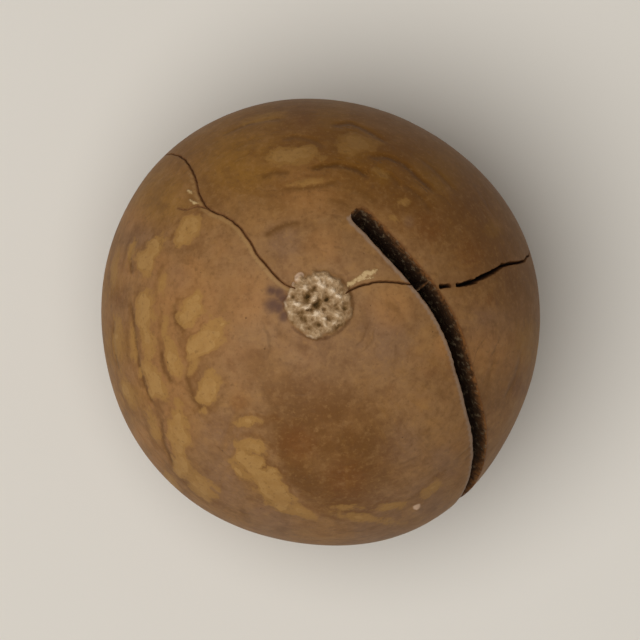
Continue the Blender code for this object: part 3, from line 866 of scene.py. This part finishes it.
def slotCutter():
    radius = nutForm["meanRadius"]
    floor = radius - slotForm["depth"]
    saw = slotForm["sawRadius"]
    away = floor + saw
    halfSpan = math.acos((radius ** 2 + away ** 2 - saw ** 2) / (2 * radius * away))
    first = slotForm["start"] + halfSpan
    last = slotForm["end"] - halfSpan

    def reachOfFloor(turn):
        past = max(first - turn, turn - last, 0.0)
        if past == 0:
            return floor
        reach = away * math.cos(past) - math.sqrt(max(saw ** 2 - (away * math.sin(past)) ** 2, 0))
        inward = min(turn - slotForm["start"], slotForm["end"] - turn) * radius
        drop = slotForm["endDrop"] * float(smoothStep(inward / slotForm["endRun"]))
        return max(floor, reach - drop)

    turns = [first]
    while reachOfFloor(turns[0]) < slotForm["clear"] - slotForm["margin"]:
        turns.insert(0, turns[0] - slotForm["turnStep"])
    while turns[-1] < last or reachOfFloor(turns[-1]) < slotForm["clear"] - slotForm["margin"]:
        turns.append(turns[-1] + slotForm["turnStep"])

    points = []
    rows = slotForm["wallRows"]
    chipSize, chipLeast, chipMore = slotForm["lipChips"]
    bigSize, bigRare = slotForm["bigChips"]
    lumpLong, lumpHigh, lumpShare = slotForm["wallLumps"]
    fibreLong, fibreHigh, fibreShare = slotForm["wallFibres"]
    radials = np.array([tuple(slotHigh * math.cos(t) + slotOnward * math.sin(t)) for t in turns])
    # the two ends are round: how far they still are from each column, as a share of the end's radius
    gaps = [min(t - slotForm["start"], slotForm["end"] - t) * radius / slotForm["endRound"] for t in turns]
    shares = [min(1, max(slotForm["endLeast"], gap)) for gap in gaps]
    halfWidths = [slotForm["width"] / 2 * math.sqrt(1 - (1 - share) ** 2) for share in shares]
    for side in (-1, 1):
        lifts = slotForm["offset"] + slotWander(turns) + side * np.array(halfWidths)
        spots = radials * radius + np.outer(lifts, np.array(slotForm["normal"]))
        spots /= np.linalg.norm(spots, axis=1)[:, None]
        skin = np.sqrt(shellRadius(spots) ** 2 - lifts ** 2)
        for turn, radial, surfaceReach, lift in zip(turns, radials, skin, lifts):
            arc = turn * radius / mm
            ragged = chipLeast + chipMore * abs(noise.noise(Vector((arc / chipSize, side * 5, 1))))
            torn = noise.noise(Vector((arc / bigSize, side * 9, 4)))
            big = slotForm["bigChip"] * max(0.0, torn - bigRare)
            wide = slotForm["lipWide"][side] * ragged + big
            deep = slotForm["lipDeep"][side] * ragged + big * 0.5
            inner = reachOfFloor(turn)
            bridged = math.exp(-((turn - slotForm["bridgeTurn"]) / slotForm["bridgeSpread"]) ** 4)
            inner += max(0.0, surfaceReach - slotForm["bridgeDrop"] - inner) * bridged
            lip = max(surfaceReach - deep, inner + slotForm["leastWall"])
            reaches = [inner + (lip - inner) * k / rows for k in range(rows + 1)]
            reaches.append(max(surfaceReach, lip + slotForm["leastLip"]))
            reaches.append(max(slotForm["clear"], reaches[-1] + slotForm["leastWall"]))
            for k, reach in enumerate(reaches):
                level = reach / mm
                rough = lumpShare * noise.noise(Vector((arc / lumpLong, level / lumpHigh, side * 7)))
                rough += fibreShare * noise.noise(Vector((arc / fibreLong, level / fibreHigh, 20 + side)))
                out = lift + side * (wide if k > rows else 0.0) + rough * slotForm["wallRough"]
                points.append(radial * reach + np.array(slotForm["normal"]) * out)
    perColumn = rows + 3
    columns = len(turns)
    other = columns * perColumn
    faces = []
    kinds = []
    for c in range(columns - 1):
        for k in range(perColumn - 1):
            a = c * perColumn + k
            b = a + perColumn
            faces.append((a, a + 1, b + 1, b))
            faces.append((other + a, other + b, other + b + 1, other + a + 1))
            kinds += [1 if k >= rows else 0, 0]
        for k in (0, perColumn - 1):
            a = c * perColumn + k
            faces.append((a, a + perColumn, other + a + perColumn, other + a))
            kinds.append(0)
    for c in (0, columns - 1):
        for k in range(perColumn - 1):
            a = c * perColumn + k
            faces.append((a, a + 1, other + a + 1, other + a))
            kinds.append(0)
    tool = toObject("slotCutter", points, faces, [sawnWall, lipBreak], kinds)
    tool.location = middle
    return tool


# The cracks

crackForm = {
    "seen": {  # points seen from above, in mm from the nut's middle
        "left": (
            (-1.35, 1.72), (-2.20, 2.16), (-2.89, 2.95), (-3.56, 3.74), (-4.05, 4.63), (-4.64, 5.31),
            (-5.33, 5.80), (-6.21, 6.19), (-6.70, 6.96), (-7.00, 8.05), (-7.45, 8.85),
        ),
        "branch": ((-6.05, 6.10), (-6.80, 6.34), (-7.40, 6.16), (-7.95, 6.22)),
        "rightThin": ((1.40, 1.45), (1.81, 1.72), (2.60, 1.99), (3.59, 2.13), (4.76, 2.04), (5.60, 1.93)),
        "rightShort": ((6.62, 1.86), (6.95, 1.90), (7.34, 1.92)),
        "rightLong": ((7.56, 1.94), (8.00, 2.00), (8.68, 2.20), (9.66, 2.70), (10.44, 3.12), (11.25, 3.24)),
    },
    "gape": {
        "left": 0.11 * mm,
        "branch": 0.08 * mm,
        "rightThin": 0.12 * mm,
        "rightShort": 0.27 * mm,
        "rightLong": 0.32 * mm,
    },
    # how wide each stays at its first and last point, as a share of its gape
    "ends": {
        "left": (0.5, 0.3),
        "branch": (0.8, 0.2),
        "rightThin": (0.4, 1.0),
        "rightShort": (0.45, 0.40),
        "rightLong": (0.60, 0.10),
    },
    "sideRun": {"left": 26, "rightLong": 20},
    "depth": {
        "left": 0.11 * mm,
        "branch": 0.07 * mm,
        "rightThin": 0.16 * mm,
        "rightShort": 0.70 * mm,
        "rightLong": 0.80 * mm,
    },
    "sideStep": 4,
    "sideWander": 1.1,
    "narrowing": {"left": 3, "branch": 2, "rightThin": 4, "rightShort": 5, "rightLong": 1.15},
    "clear": 0.40 * mm,
    "seed": 5,
    "step": 0.11 * mm,
    "jitter": 0.055 * mm,
    "jags": (0.8, 0.27, 0.5),  # the broad and the fine ones' size in mm, and the fine ones' share
    "edgeSize": 0.35,  # mm
    "edgeRough": 0.5,
    "openRun": 6,  # how fast a crack opens from its start
    "leastDepth": 0.45,  # as a share of its depth
    "chip": 0.03 * mm,
    "chipSize": 0.3,  # mm
    # how far from a crack's line the skin is darker
    "crackDarkReach": 0.17 * mm,
}


def crackPath(name):
    draw = random.Random(crackForm["seed"])
    path = [seenFromAbove(x, y) for x, y in crackForm["seen"][name]]
    azimuth = math.degrees(math.atan2(path[-1][1], path[-1][0]))
    elevation = math.degrees(math.asin(path[-1][2]))
    for i in range(1, crackForm["sideRun"].get(name, 0) // crackForm["sideStep"] + 1):
        azimuth += draw.uniform(-crackForm["sideWander"], crackForm["sideWander"])
        path.append(toward(azimuth, elevation - crackForm["sideStep"] * i))
    # a smooth curve through those points, then a small jagged wander across it
    fine = []
    for i in range(len(path) - 1):
        around = [max(0, min(len(path) - 1, j)) for j in (i - 1, i, i + 1, i + 2)]
        before, here, there, after = [path[j] for j in around]
        pieces = max(1, round(np.linalg.norm(there - here) * nutForm["meanRadius"] / crackForm["step"]))
        for k in range(pieces):
            t = k / pieces
            square = (2 * before - 5 * here + 4 * there - after) * t ** 2
            cube = (3 * here - before - 3 * there + after) * t ** 3
            fine.append(0.5 * (2 * here + (there - before) * t + (square + cube)))
    fine.append(path[-1])
    jagged = []
    broadSize, fineSize, fineShare = crackForm["jags"]
    for i, spot in enumerate(fine):
        ahead = fine[min(i + 1, len(fine) - 1)] - fine[max(i - 1, 0)]
        across = np.cross(spot, ahead)
        across /= np.linalg.norm(across)
        gone = i * crackForm["step"] / mm
        shift = noise.noise(Vector((gone / broadSize, len(name), 0)))
        shift += fineShare * noise.noise(Vector((gone / fineSize, len(name), 6)))
        spot = spot / np.linalg.norm(spot) + across * shift * crackForm["jitter"] / nutForm["meanRadius"]
        jagged.append(spot / np.linalg.norm(spot))
    return np.array(jagged)


crackPaths = {name: crackPath(name) for name in crackForm["seen"]}


def crackCutter(name):
    path = crackPaths[name]
    skin = shellRadius(path)
    gape = crackForm["gape"][name]
    startShare, endShare = crackForm["ends"][name]
    points = []
    for i, direction in enumerate(path):
        ahead = path[min(i + 1, len(path) - 1)] - path[max(i - 1, 0)]
        across = np.cross(direction, ahead)
        across /= np.linalg.norm(across)
        share = i / (len(path) - 1)
        narrowing = crackForm["narrowing"][name]
        taper = min(1.0, endShare + narrowing * (1 - share), startShare + crackForm["openRun"] * share)
        gone = i * crackForm["step"] / mm
        along = gone / crackForm["edgeSize"]
        left = gape / 2 * taper * (1 + crackForm["edgeRough"] * noise.noise(Vector((along, 3, 0))))
        right = gape / 2 * taper * (1 + crackForm["edgeRough"] * noise.noise(Vector((along, 13, 0))))
        chip = crackForm["chip"] * (0.5 + abs(noise.noise(Vector((gone / crackForm["chipSize"], 23, 0)))))
        depth = crackForm["depth"][name] * max(crackForm["leastDepth"], taper)
        for reach, off in (
            (skin[i] + crackForm["clear"], -left - chip),
            (skin[i] + crackForm["clear"], right + chip),
            (skin[i], right + chip),
            (skin[i] - chip, right),
            (skin[i] - depth, 0.0),
            (skin[i] - chip, -left),
            (skin[i], -left - chip),
        ):
            points.append(direction * reach + across * off)
    around = 7
    faces = [tuple(range(around)), tuple(range(len(points) - around, len(points)))[::-1]]
    for row in range(len(path) - 1):
        for k in range(around):
            a = row * around + k
            b = row * around + (k + 1) % around
            faces.append((a, a + around, b + around, b))
    tool = toObject(name + "CrackCutter", points, faces, [crackWall])
    tool.location = middle
    return tool


# What marks the skin

marks = {
    # flecks as seen from above: x, y, long, wide in mm, and lean in degrees from +X
    "seenFlecks": (
        (-1.38, 9.05, 2.9, 1.15, -2), (-0.55, 9.30, 1.0, 0.7, -10), (2.03, 9.83, 2.8, 1.15, 2),
        (4.40, 6.47, 0.9, 0.5, 20), (3.50, 8.10, 0.9, 0.45, -20), (-0.50, 7.66, 1.7, 0.36, 8),
        (-9.25, 4.10, 1.7, 1.0, 60), (-9.70, 3.25, 1.5, 1.1, 75), (-7.29, 4.85, 1.9, 1.2, 60),
        (-7.21, 0.64, 2.1, 1.25, 72), (-6.12, -1.00, 2.9, 1.35, 47), (-6.27, -3.89, 2.3, 1.25, 80),
        (-8.07, -2.25, 2.4, 0.90, 104), (-9.70, 0.60, 2.0, 1.15, 92), (-9.60, -0.95, 2.2, 0.75, 96),
        (-9.22, -3.45, 2.4, 1.15, 120), (-7.90, -6.16, 2.9, 1.25, 92), (-7.75, -7.95, 1.6, 0.95, 112),
        (-11.27, -0.84, 2.3, 0.50, 93), (-11.45, 3.00, 1.7, 0.35, 82), (-10.75, -3.90, 2.0, 0.60, 108),
        (-6.60, -9.20, 2.2, 0.9, -42), (-10.50, 3.90, 1.5, 0.4, 70), (-10.45, -1.20, 1.9, 0.35, 95),
        (-8.75, 2.10, 1.1, 0.4, 80), (-8.60, -0.30, 1.2, 0.35, 85), (-9.30, -5.90, 1.7, 0.5, 112),
        (-6.90, -2.50, 0.9, 0.45, 60), (-8.35, -9.00, 1.6, 0.5, 125),
        # a -1 puts a fleck's dark edge on its other side
        (-3.95, -7.00, 1.8, 0.80, -6, -1), (-3.80, -8.05, 2.1, 1.65, -50, -1),
        (-2.95, -9.00, 2.3, 1.50, -48, -1), (-2.25, -9.95, 2.1, 1.30, -40, -1),
        (-1.00, -10.75, 2.0, 0.60, -24, -1), (-4.10, -5.67, 1.6, 0.45, 8, -1),
        (2.60, -11.10, 3.6, 0.40, -8, -1), (1.50, -10.50, 1.7, 0.34, 4, -1),
        (3.90, -10.45, 1.5, 0.40, 12, -1), (6.20, -9.50, 1.3, 0.50, 40, -1), (-3.10, 11.30, 2.2, 0.45, 12),
        (4.10, 5.60, 0.8, 0.35, -40),
    ),
    "fleckRagged": ((1.3 * mm, 0.45), (0.6 * mm, 0.42), (0.34 * mm, 0.26)),
    "fleckEdge": 0.13,  # how wide a fleck's dark edge is, in mm
    "fleckRim": 0.3,  # up to this many mm inside its edge, the side away from the scar is fuller
    "fleckLean": (0.35, 0.05),  # how much fuller, as a share and in mm
    "fleckShadeEnd": (0.12, 0.2),
    # flecks on the sides and underside, which the view from above doesn't show
    "hiddenFlecks": 74,
    "hiddenLong": (1.1 * mm, 2.9 * mm),
    "hiddenWide": (0.4, 0.8),
    "hiddenHeight": (-0.93, 0.02),
    "hiddenLean": 0.6,
    "seed": 31,
    # slivers of pale shell beside a crack: points as seen from above, half width in mm
    "splinters": (
        (((1.60, 1.96), (1.85, 2.08), (2.08, 2.28), (2.30, 2.34)), 0.19),
        (((2.38, 2.40), (2.58, 2.60), (2.80, 2.58), (3.12, 2.74)), 0.20),
        (((2.10, 2.16), (2.55, 2.30), (2.95, 2.34)), 0.07),
        (((-7.25, 6.70), (-7.00, 6.50), (-6.75, 6.60)), 0.10),
        (((-7.35, 7.30), (-7.15, 7.05)), 0.10),
    ),
    "redMiddle": (0.2, -7.4),
    "redRadius": (4.5, 4.8),
    "redEdge": (
        (-3.8, -1.6), (-3.75, -3.1), (-2.95, -4.3), (-2.85, -6.1), (-2.2, -8.6), (-0.85, -10.4),
        (0.7, -11.2),
    ),
    "redRagged": (0.9 * mm, 0.3),
    "redSharp": 1.3,
    "redSoft": 1.5,
    "redLow": -0.2,
    # soft spots as seen from above: x, y and radius
    "spots": {
        "grey": (
            (-5.3, -6.6, 1.6), (-5.2, -8.6, 1.6), (-2.6, -11.0, 1.6), (3.2, -11.3, 2.2), (6.91, -7.91, 1.0),
            (-8.0, 2.3, 0.9), (4.4, -7.0, 1.5), (3.4, -1.2, 1.8), (-10.2, 4.6, 0.9), (9.4, -0.5, 1.5),
            (4.95, 5.45, 0.35), (-5.0, -9.4, 1.1), (6.0, -10.0, 1.3), (-2.0, 4.4, 1.0),
        ),
        "rust": (
            (6.1, 5.2, 1.0), (9.5, 1.15, 0.40), (10.8, -1.0, 0.45), (11.0, -3.8, 0.7), (-0.7, 11.3, 0.8),
            (0.0, 10.6, 0.35), (-4.5, -4.6, 0.6), (1.4, -8.9, 1.3), (8.4, 3.7, 0.9), (-1.2, -6.9, 1.2),
            (-11.3, 1.4, 0.6),
        ),
        "gold": (
            (2.0, 9.9, 1.4), (-3.0, 11.4, 1.0), (3.5, 8.2, 0.7), (9.7, 5.1, 0.6), (-11.4, -1.5, 1.2),
            (-10.6, -4.4, 1.0), (-4.6, 9.3, 2.4), (-8.9, 6.9, 1.8),
            (-12.0, 2.0, 1.0), (11.9, -1.2, 1.3), (0.6, 11.6, 1.3), (6.6, 8.2, 1.6),
        ),
        "warm": (
            (-7.5, 0.5, 3.2), (-8.6, -4.2, 2.0), (-4.3, 1.2, 1.8), (-7.1, 2.8, 0.9), (10.6, -1.8, 1.3),
            (-10.4, 5.6, 1.0), (-10.9, -4.6, 0.6), (-10.1, -6.5, 0.6), (-9.2, -8.0, 0.6), (9.5, -1.6, 1.5),
            (-8.8, -1.8, 2.6), (-0.8, 7.4, 1.8), (-8.4, -6.6, 1.4), (7.0, -1.4, 0.8), (-11.3, 2.8, 1.2),
            (-9.0, 3.2, 0.9), (4.0, 0.7, 1.3), (0.2, 4.2, 1.1),
        ),
        "dusk": (
            (-3.1, -2.5, 1.3), (-2.4, -3.6, 1.4), (-2.2, 6.6, 0.9), (-6.6, 6.9, 1.2), (-3.7, -8.5, 1.2),
        ),
        "stain": (
            (-2.60, 0.80, 0.46), (-2.30, 0.70, 0.40), (-2.66, 1.62, 0.34), (-2.30, 1.52, 0.36),
            (-2.08, 1.20, 0.30), (-2.02, 0.22, 0.30),
        ),
    },
    "lipReach": 0.11 * mm,
    "lineReach": 1 * mm,
    "splinterReach": 0.9 * mm,
    # a painted highlight along one lip of the left crack, fading out before its end
    "crackHighlightEnd": (0.75, 0.2),  # shares of the left crack's length
    "crackHighlight": (0.21, 0.11),  # how far beside the left crack its painted highlight lies, and how wide it is, in mm
    "rim": (0.12, 0.13),  # how far inside the scar's edge its painted shadow line lies, and how wide it is, in mm
}


def darkEdge(inside, outer, least, more):
    # of a fleck, mostly on its outer side
    return bell(inside + marks["fleckEdge"], marks["fleckEdge"]) * smoothStep(least + more * outer)


def fleckFields(directions, places):
    # depth in mm inside the nearest fleck's edge, below 0 outside, and its dark edge away from the scar
    ragged = sum(noiseAt(places, size, 50 + size / mm) * share for size, share in marks["fleckRagged"])
    seenX = places[:, 0] / mm
    seenY = places[:, 1] / mm
    field = np.full(len(places), -1.0)
    shade = np.zeros(len(places))
    upper = directions[:, 2] > 0
    fuller, more = marks["fleckLean"]
    for fleck in marks["seenFlecks"]:
        inside = (1 - ovalReach(seenX, seenY, fleck[:5]) + ragged) * fleck[3] / 2
        outX = fleck[0] - scarForm["middle"][0]
        outY = fleck[1] - scarForm["middle"][1]
        gap = np.hypot(seenX - fleck[0], seenY - fleck[1]) + 0.01
        outer = ((seenX - fleck[0]) * outX + (seenY - fleck[1]) * outY) / gap / math.hypot(outX, outY)
        outer = outer * (fleck[5] if len(fleck) > 5 else 1)
        inside = np.where(inside < marks["fleckRim"], inside * (1 + fuller * outer) + more * outer, inside)
        edge = darkEdge(inside, outer, 0.45, 0.8)
        field = np.where(upper, np.maximum(field, inside), field)
        shade = np.where(upper, np.maximum(shade, edge), shade)
    draw = random.Random(marks["seed"])
    for _ in range(marks["hiddenFlecks"]):
        height = draw.uniform(*marks["hiddenHeight"])
        turn = draw.uniform(0, 2 * math.pi)
        flat = math.sqrt(1 - height ** 2)
        centre = np.array([math.cos(turn) * flat, math.sin(turn) * flat, height])
        long = draw.uniform(*marks["hiddenLong"]) / 2
        wide = long * draw.uniform(*marks["hiddenWide"])
        lean = draw.gauss(0, marks["hiddenLean"])
        east = np.array([-math.sin(turn), math.cos(turn), 0])
        north = np.cross(centre, east)
        gap = places - centre * nutForm["meanRadius"]
        u = (gap @ east * math.cos(lean) + gap @ north * math.sin(lean)) / wide
        v = (gap @ north * math.cos(lean) - gap @ east * math.sin(lean)) / long
        inside = (1 - np.sqrt(u ** 2 + v ** 2 + (gap @ centre / (2 * mm)) ** 2) + ragged) * wide / mm
        outer = -(gap @ north) / (np.linalg.norm(gap, axis=1) + 0.01 * mm)
        edge = darkEdge(inside, outer, 0.35, 0.9)
        field = np.maximum(field, inside)
        shade = np.maximum(shade, edge)
    end, run = marks["fleckShadeEnd"]
    return np.clip(field, -1, 1), shade * smoothStep((end - field) / run)


def redField(directions, places):
    # below 0 left of the patch's sharp edge, and falling off softly the other ways
    x = places[:, 0] / mm
    y = places[:, 1] / mm
    edge = np.array(marks["redEdge"])
    order = np.argsort(edge[:, 1])
    size, share = marks["redRagged"]
    inside = x - np.interp(y, edge[order, 1], edge[order, 0]) + noiseAt(places, size, 60) * share
    (middleX, middleY), (radiusX, radiusY) = marks["redMiddle"], marks["redRadius"]
    soft = 1 - np.hypot((x - middleX) / radiusX, (y - middleY) / radiusY)
    patch = np.minimum(inside * marks["redSharp"], soft * marks["redSoft"])
    return np.where(directions[:, 2] > marks["redLow"], np.clip(patch, -1, 1), -1.0)


def seenSpots(places, directions, spots):
    field = np.zeros(len(places))
    for x, y, radius in spots:
        away = np.hypot(places[:, 0] / mm - x, places[:, 1] / mm - y)
        field = np.maximum(field, bell(away, radius))
    return np.where(directions[:, 2] > 0, field, 0)


def lipFields(places):
    # how close the skin is to the left and to the right edge of the slot
    turn = np.arctan2(places @ np.array(slotOnward), places @ np.array(slotHigh))
    beside = (places @ np.array(slotForm["normal"]) - slotForm["offset"] - slotWander(turn)) / mm
    inside = smoothStep((turn - slotForm["start"]) * 60) * smoothStep((slotForm["end"] - turn) * 60)
    half = slotForm["width"] / mm / 2
    reach = marks["lipReach"] / mm
    left = bell(np.maximum(-beside - half - slotForm["lipWide"][-1] / mm, 0), reach) * (beside < 0)
    right = bell(np.maximum(beside - half, 0) / reach, 1.3) * (beside > 0)
    return left * inside, right * inside


def markSkin(mesh):
    count = len(mesh.vertices)
    points = np.empty(count * 3)
    mesh.vertices.foreach_get("co", points)
    places = points.reshape(-1, 3) - np.array(middle)
    distance = np.linalg.norm(places, axis=1)
    directions = places / distance[:, None]
    pad, bumps = scarShape(directions)
    x = directions[:, 0]
    y = directions[:, 1]
    scarX, scarY = scarForm["middle"]
    besideX = places[:, 0] / mm - scarX
    besideY = places[:, 1] / mm - scarY
    # a painted shadow of the raised pad just inside the scar's edge, strongest at its lower right
    rim = np.hypot(besideX, besideY) - scarForm["radius"]
    rimPlace, rimWidth = marks["rim"]
    scarEdgeShadow = bell(rim + rimPlace, rimWidth) * (directions[:, 2] > 0)
    lowRight = (besideX - besideY) / 2.7
    creaseAway, creaseStrong = nearestCrease(places)
    reach = marks["lineReach"]
    crackAway = np.full(count, reach)
    # painted highlight along one side of the left crack
    crackHighlight = np.zeros(count)
    crackHighlightPlace, crackHighlightWidth = marks["crackHighlight"]
    crackHighlightEnd, crackHighlightRun = marks["crackHighlightEnd"]
    for name, path in crackPaths.items():
        gap, along = besideLine(places, path * roundForm(path)[:, None], reach)
        crackAway = np.minimum(crackAway, np.abs(gap))
        if name == "left":
            crackHighlight = bell(gap / mm - crackHighlightPlace, crackHighlightWidth) * smoothStep((crackHighlightEnd - along) / crackHighlightRun)
    splinter = np.zeros(count)
    for seen, half in marks["splinters"]:
        gap, along = besideLine(places, onRoundForm(seen), reach)
        near = np.abs(gap) < marks["splinterReach"]
        splinter = np.maximum(splinter, bell(gap / mm, half) * near)
    leftLip, rightLip = lipFields(places)
    fleck, fleckShade = fleckFields(directions, places)
    fields = {
        "depthField": (shellRadius(directions) - distance) / mm,
        "scarField": pad,
        "grainField": np.clip(0.42 + bumps * 0.42, -0.5, 1.5),
        "rimField": scarEdgeShadow * (0.3 + 0.7 * smoothStep(0.5 + lowRight)),
        "fleckField": fleck,
        "fleckShade": fleckShade,
        "redField": redField(directions, places),
        # darker and more golden towards the top: partly the skin's own tone, partly painted shade
        "topField": smoothStep((y - 0.10) / 0.85),
        # darker towards the right: painted shade
        "rightField": smoothStep((x - 0.25) / 0.75),
        # darker towards the upper right: painted shadow
        "upperRightField": smoothStep((0.6 * x + 0.8 * y - 0.35) / 0.5),
        # warmer towards the sides: painted warm bounce light
        "sideField": smoothStep((0.62 - directions[:, 2]) / 0.55),
        "ridgeField": crackHighlight,
        "crackField": np.clip(1 - crackAway / crackForm["crackDarkReach"], -1, 1),
        "wrinkleAway": creaseAway / mm,
        "wrinkleShare": creaseStrong * smoothStep((0.45 - np.abs(creaseAway) / mm) / 0.12),
        "splinterField": splinter,
        "crumbField": crumbShape(directions, places),
        "leftLipField": leftLip,
        "rightLipField": rightLip,
    }
    for name, spots in marks["spots"].items():
        fields[name + "Field"] = seenSpots(places, directions, spots)
    for name, values in fields.items():
        mesh.attributes.new(name, "FLOAT", "POINT").data.foreach_set("value", values.astype(np.float32))


# The shell

shellMesh = {
    "segments": 352,
    "scarStep": 0.28,  # degrees between rings on the scar
    "scarReach": 11.5,
    "growth": 1.06,
    "step": 1.05,
    "cavityRings": 64,
    "cavitySegments": 96,
    "creaseAngle": math.radians(36),
}


def shellRings():
    rings = [shellMesh["scarStep"]]
    step = shellMesh["scarStep"]
    while rings[-1] < 180 - step * 1.5:
        if rings[-1] > shellMesh["scarReach"]:
            step = min(shellMesh["step"], step * shellMesh["growth"])
        rings.append(rings[-1] + step)
    return rings


def makeShell():
    shell = globe("seedCoatShell", shellRings(), shellMesh["segments"], shellRadius, middle, [seedCoat])
    rings = [180 * i / shellMesh["cavityRings"] for i in range(1, shellMesh["cavityRings"])]
    cavity = globe("cavityCutter", rings, shellMesh["cavitySegments"], cavityRadius, middle, [lining])
    ground = bpy.data.meshes.new("groundCutter")
    form = bmesh.new()
    bmesh.ops.create_cube(form, size=nutForm["meanRadius"])
    bmesh.ops.translate(form, verts=form.verts, vec=Vector((0, 0, -nutForm["meanRadius"] / 2)))
    form.to_mesh(ground)
    form.free()
    ground.materials.append(seedCoat)
    below = addObject("groundCutter", ground)
    tools = [cavity, slotCutter(), *[crackCutter(name) for name in crackPaths], below]
    for tool in tools:
        cut = shell.modifiers.new(tool.name, "BOOLEAN")
        cut.operation = "DIFFERENCE"
        cut.solver = "EXACT"
        cut.material_mode = "TRANSFER"
        cut.object = tool
    bpy.context.view_layer.update()
    whole = bpy.data.meshes.new_from_object(shell.evaluated_get(bpy.context.evaluated_depsgraph_get()))
    shell.modifiers.clear()
    shell.data = whole
    for tool in tools:
        bpy.data.objects.remove(tool)
    whole.shade_smooth()
    whole.set_sharp_from_angle(angle=shellMesh["creaseAngle"])
    markSkin(whole)
    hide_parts("shell")
    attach(shell, "root")
    print("shell made:", len(whole.polygons), "faces")
    return shell


# The kernel

kernelForm = {
    "radius": 9.20 * mm,
    "drop": 0.25 * mm,
    "baseFlat": 0.50 * mm,
    "baseSpread": math.radians(34),
    "tipRise": 0.14 * mm,
    "tipSpread": math.radians(16),
    "seamDepth": 0.16 * mm,
    "seamSpread": math.radians(2.2),
    "seamTurn": math.radians(25),
    "waveSize": 3.0 * mm,
    "waveHeight": 0.05 * mm,
    "rings": 110,
    "segments": 144,
}


def kernelRadius(directions):
    fromScar = angleFrom(directions, pole)
    turn = kernelForm["seamTurn"]
    seamWay = np.array(poleSide) * math.cos(turn) + np.array(poleAcross) * math.sin(turn)
    fromSeam = np.abs(np.arcsin(np.clip(directions @ seamWay, -1, 1)))
    radius = kernelForm["radius"] - kernelForm["baseFlat"] * bell(fromScar, kernelForm["baseSpread"])
    radius += kernelForm["tipRise"] * bell(math.pi - fromScar, kernelForm["tipSpread"])
    radius -= kernelForm["seamDepth"] * bell(fromSeam, kernelForm["seamSpread"])
    waves = noiseAt(directions * kernelForm["radius"], kernelForm["waveSize"], 7)
    return radius + waves * kernelForm["waveHeight"]


def makeKernel():
    rings = [180 * i / kernelForm["rings"] for i in range(1, kernelForm["rings"])]
    centre = middle - Vector((0, 0, kernelForm["drop"]))
    kernel = globe("looseKernel", rings, kernelForm["segments"], kernelRadius, centre, [flesh])
    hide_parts("kernel")
    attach(kernel, "root")
    print("kernel made:", len(kernel.data.polygons), "faces")
    return kernel


# Camera and light

studio = {
    "lens": 900,
    "viewWidth": 36 * mm,
    "sensor": 36,
    "skyColour": "#f6f2ea",
    "skyStrength": 0.18,
    "keyPlace": (-0.12, -0.07, 0.62),
    "keySize": 0.55,
    "keyPower": 3.5,
    "sidePlace": (-0.50, -0.16, 0.30),
    "sideSize": 0.35,
    "sidePower": 0.30,
    "floorSize": 4.0,
    "floorColour": ("#d9d3c9", "#dcd7ce"),
    "paintSize": 40,  # mm
}


def makeCamera():
    lens = bpy.data.cameras.new("overheadCamera")
    lens.lens = studio["lens"]
    lens.sensor_width = studio["sensor"]
    camera = addObject("overheadCamera", lens)
    distance = studio["viewWidth"] * studio["lens"] / studio["sensor"]
    camera.location = (0, 0, nutForm["middleHeight"] + distance)
    lens.clip_start = 0.01
    lens.clip_end = 10
    bpy.context.scene.camera = camera


def makeLight(name, place, size, power):
    lamp = bpy.data.lights.new(name, "AREA")
    lamp.shape = "DISK"
    lamp.size = size
    lamp.energy = power
    light = addObject(name, lamp)
    light.location = place
    light.rotation_euler = (middle - Vector(place)).to_track_quat("-Z", "Y").to_euler()


def makeFloor():
    # matt painted board
    mesh = bpy.data.meshes.new("studioFloor")
    form = bmesh.new()
    bmesh.ops.create_grid(form, x_segments=1, y_segments=1, size=studio["floorSize"] / 2)
    form.to_mesh(mesh)
    form.free()
    material, tree, surface, inMm = newMaterial("matt painted board")
    paint = addNode(tree, "TexNoise", {"Scale": 1 / studio["paintSize"], "Detail": 3.0}, {"Vector": inMm})
    toneA, toneB = studio["floorColour"]
    look = {"data_type": "RGBA", 6: hexColour(toneA), 7: hexColour(toneB)}
    tone = addNode(tree, "Mix", look, {0: paint}, 2)
    setNode(tree, surface, {"Roughness": 0.9}, {"Base Color": tone})
    mesh.materials.append(material)
    floor = addObject("studioFloor", mesh)
    floor.location.z = -0.02 * mm


def makeSky():
    world = bpy.data.worlds.new("studioSky")
    bpy.context.scene.world = world
    world.use_nodes = True
    sky = world.node_tree.nodes["Background"]
    sky.inputs["Color"].default_value = hexColour(studio["skyColour"])
    sky.inputs["Strength"].default_value = studio["skyStrength"]


makeCamera()
makeShell()
makeKernel()
makeFloor()
makeSky()
makeLight("keyLight", studio["keyPlace"], studio["keySize"], studio["keyPower"])
makeLight("sideLight", studio["sidePlace"], studio["sideSize"], studio["sidePower"])
bpy.context.scene.view_settings.view_transform = "Standard"
print("studio made")
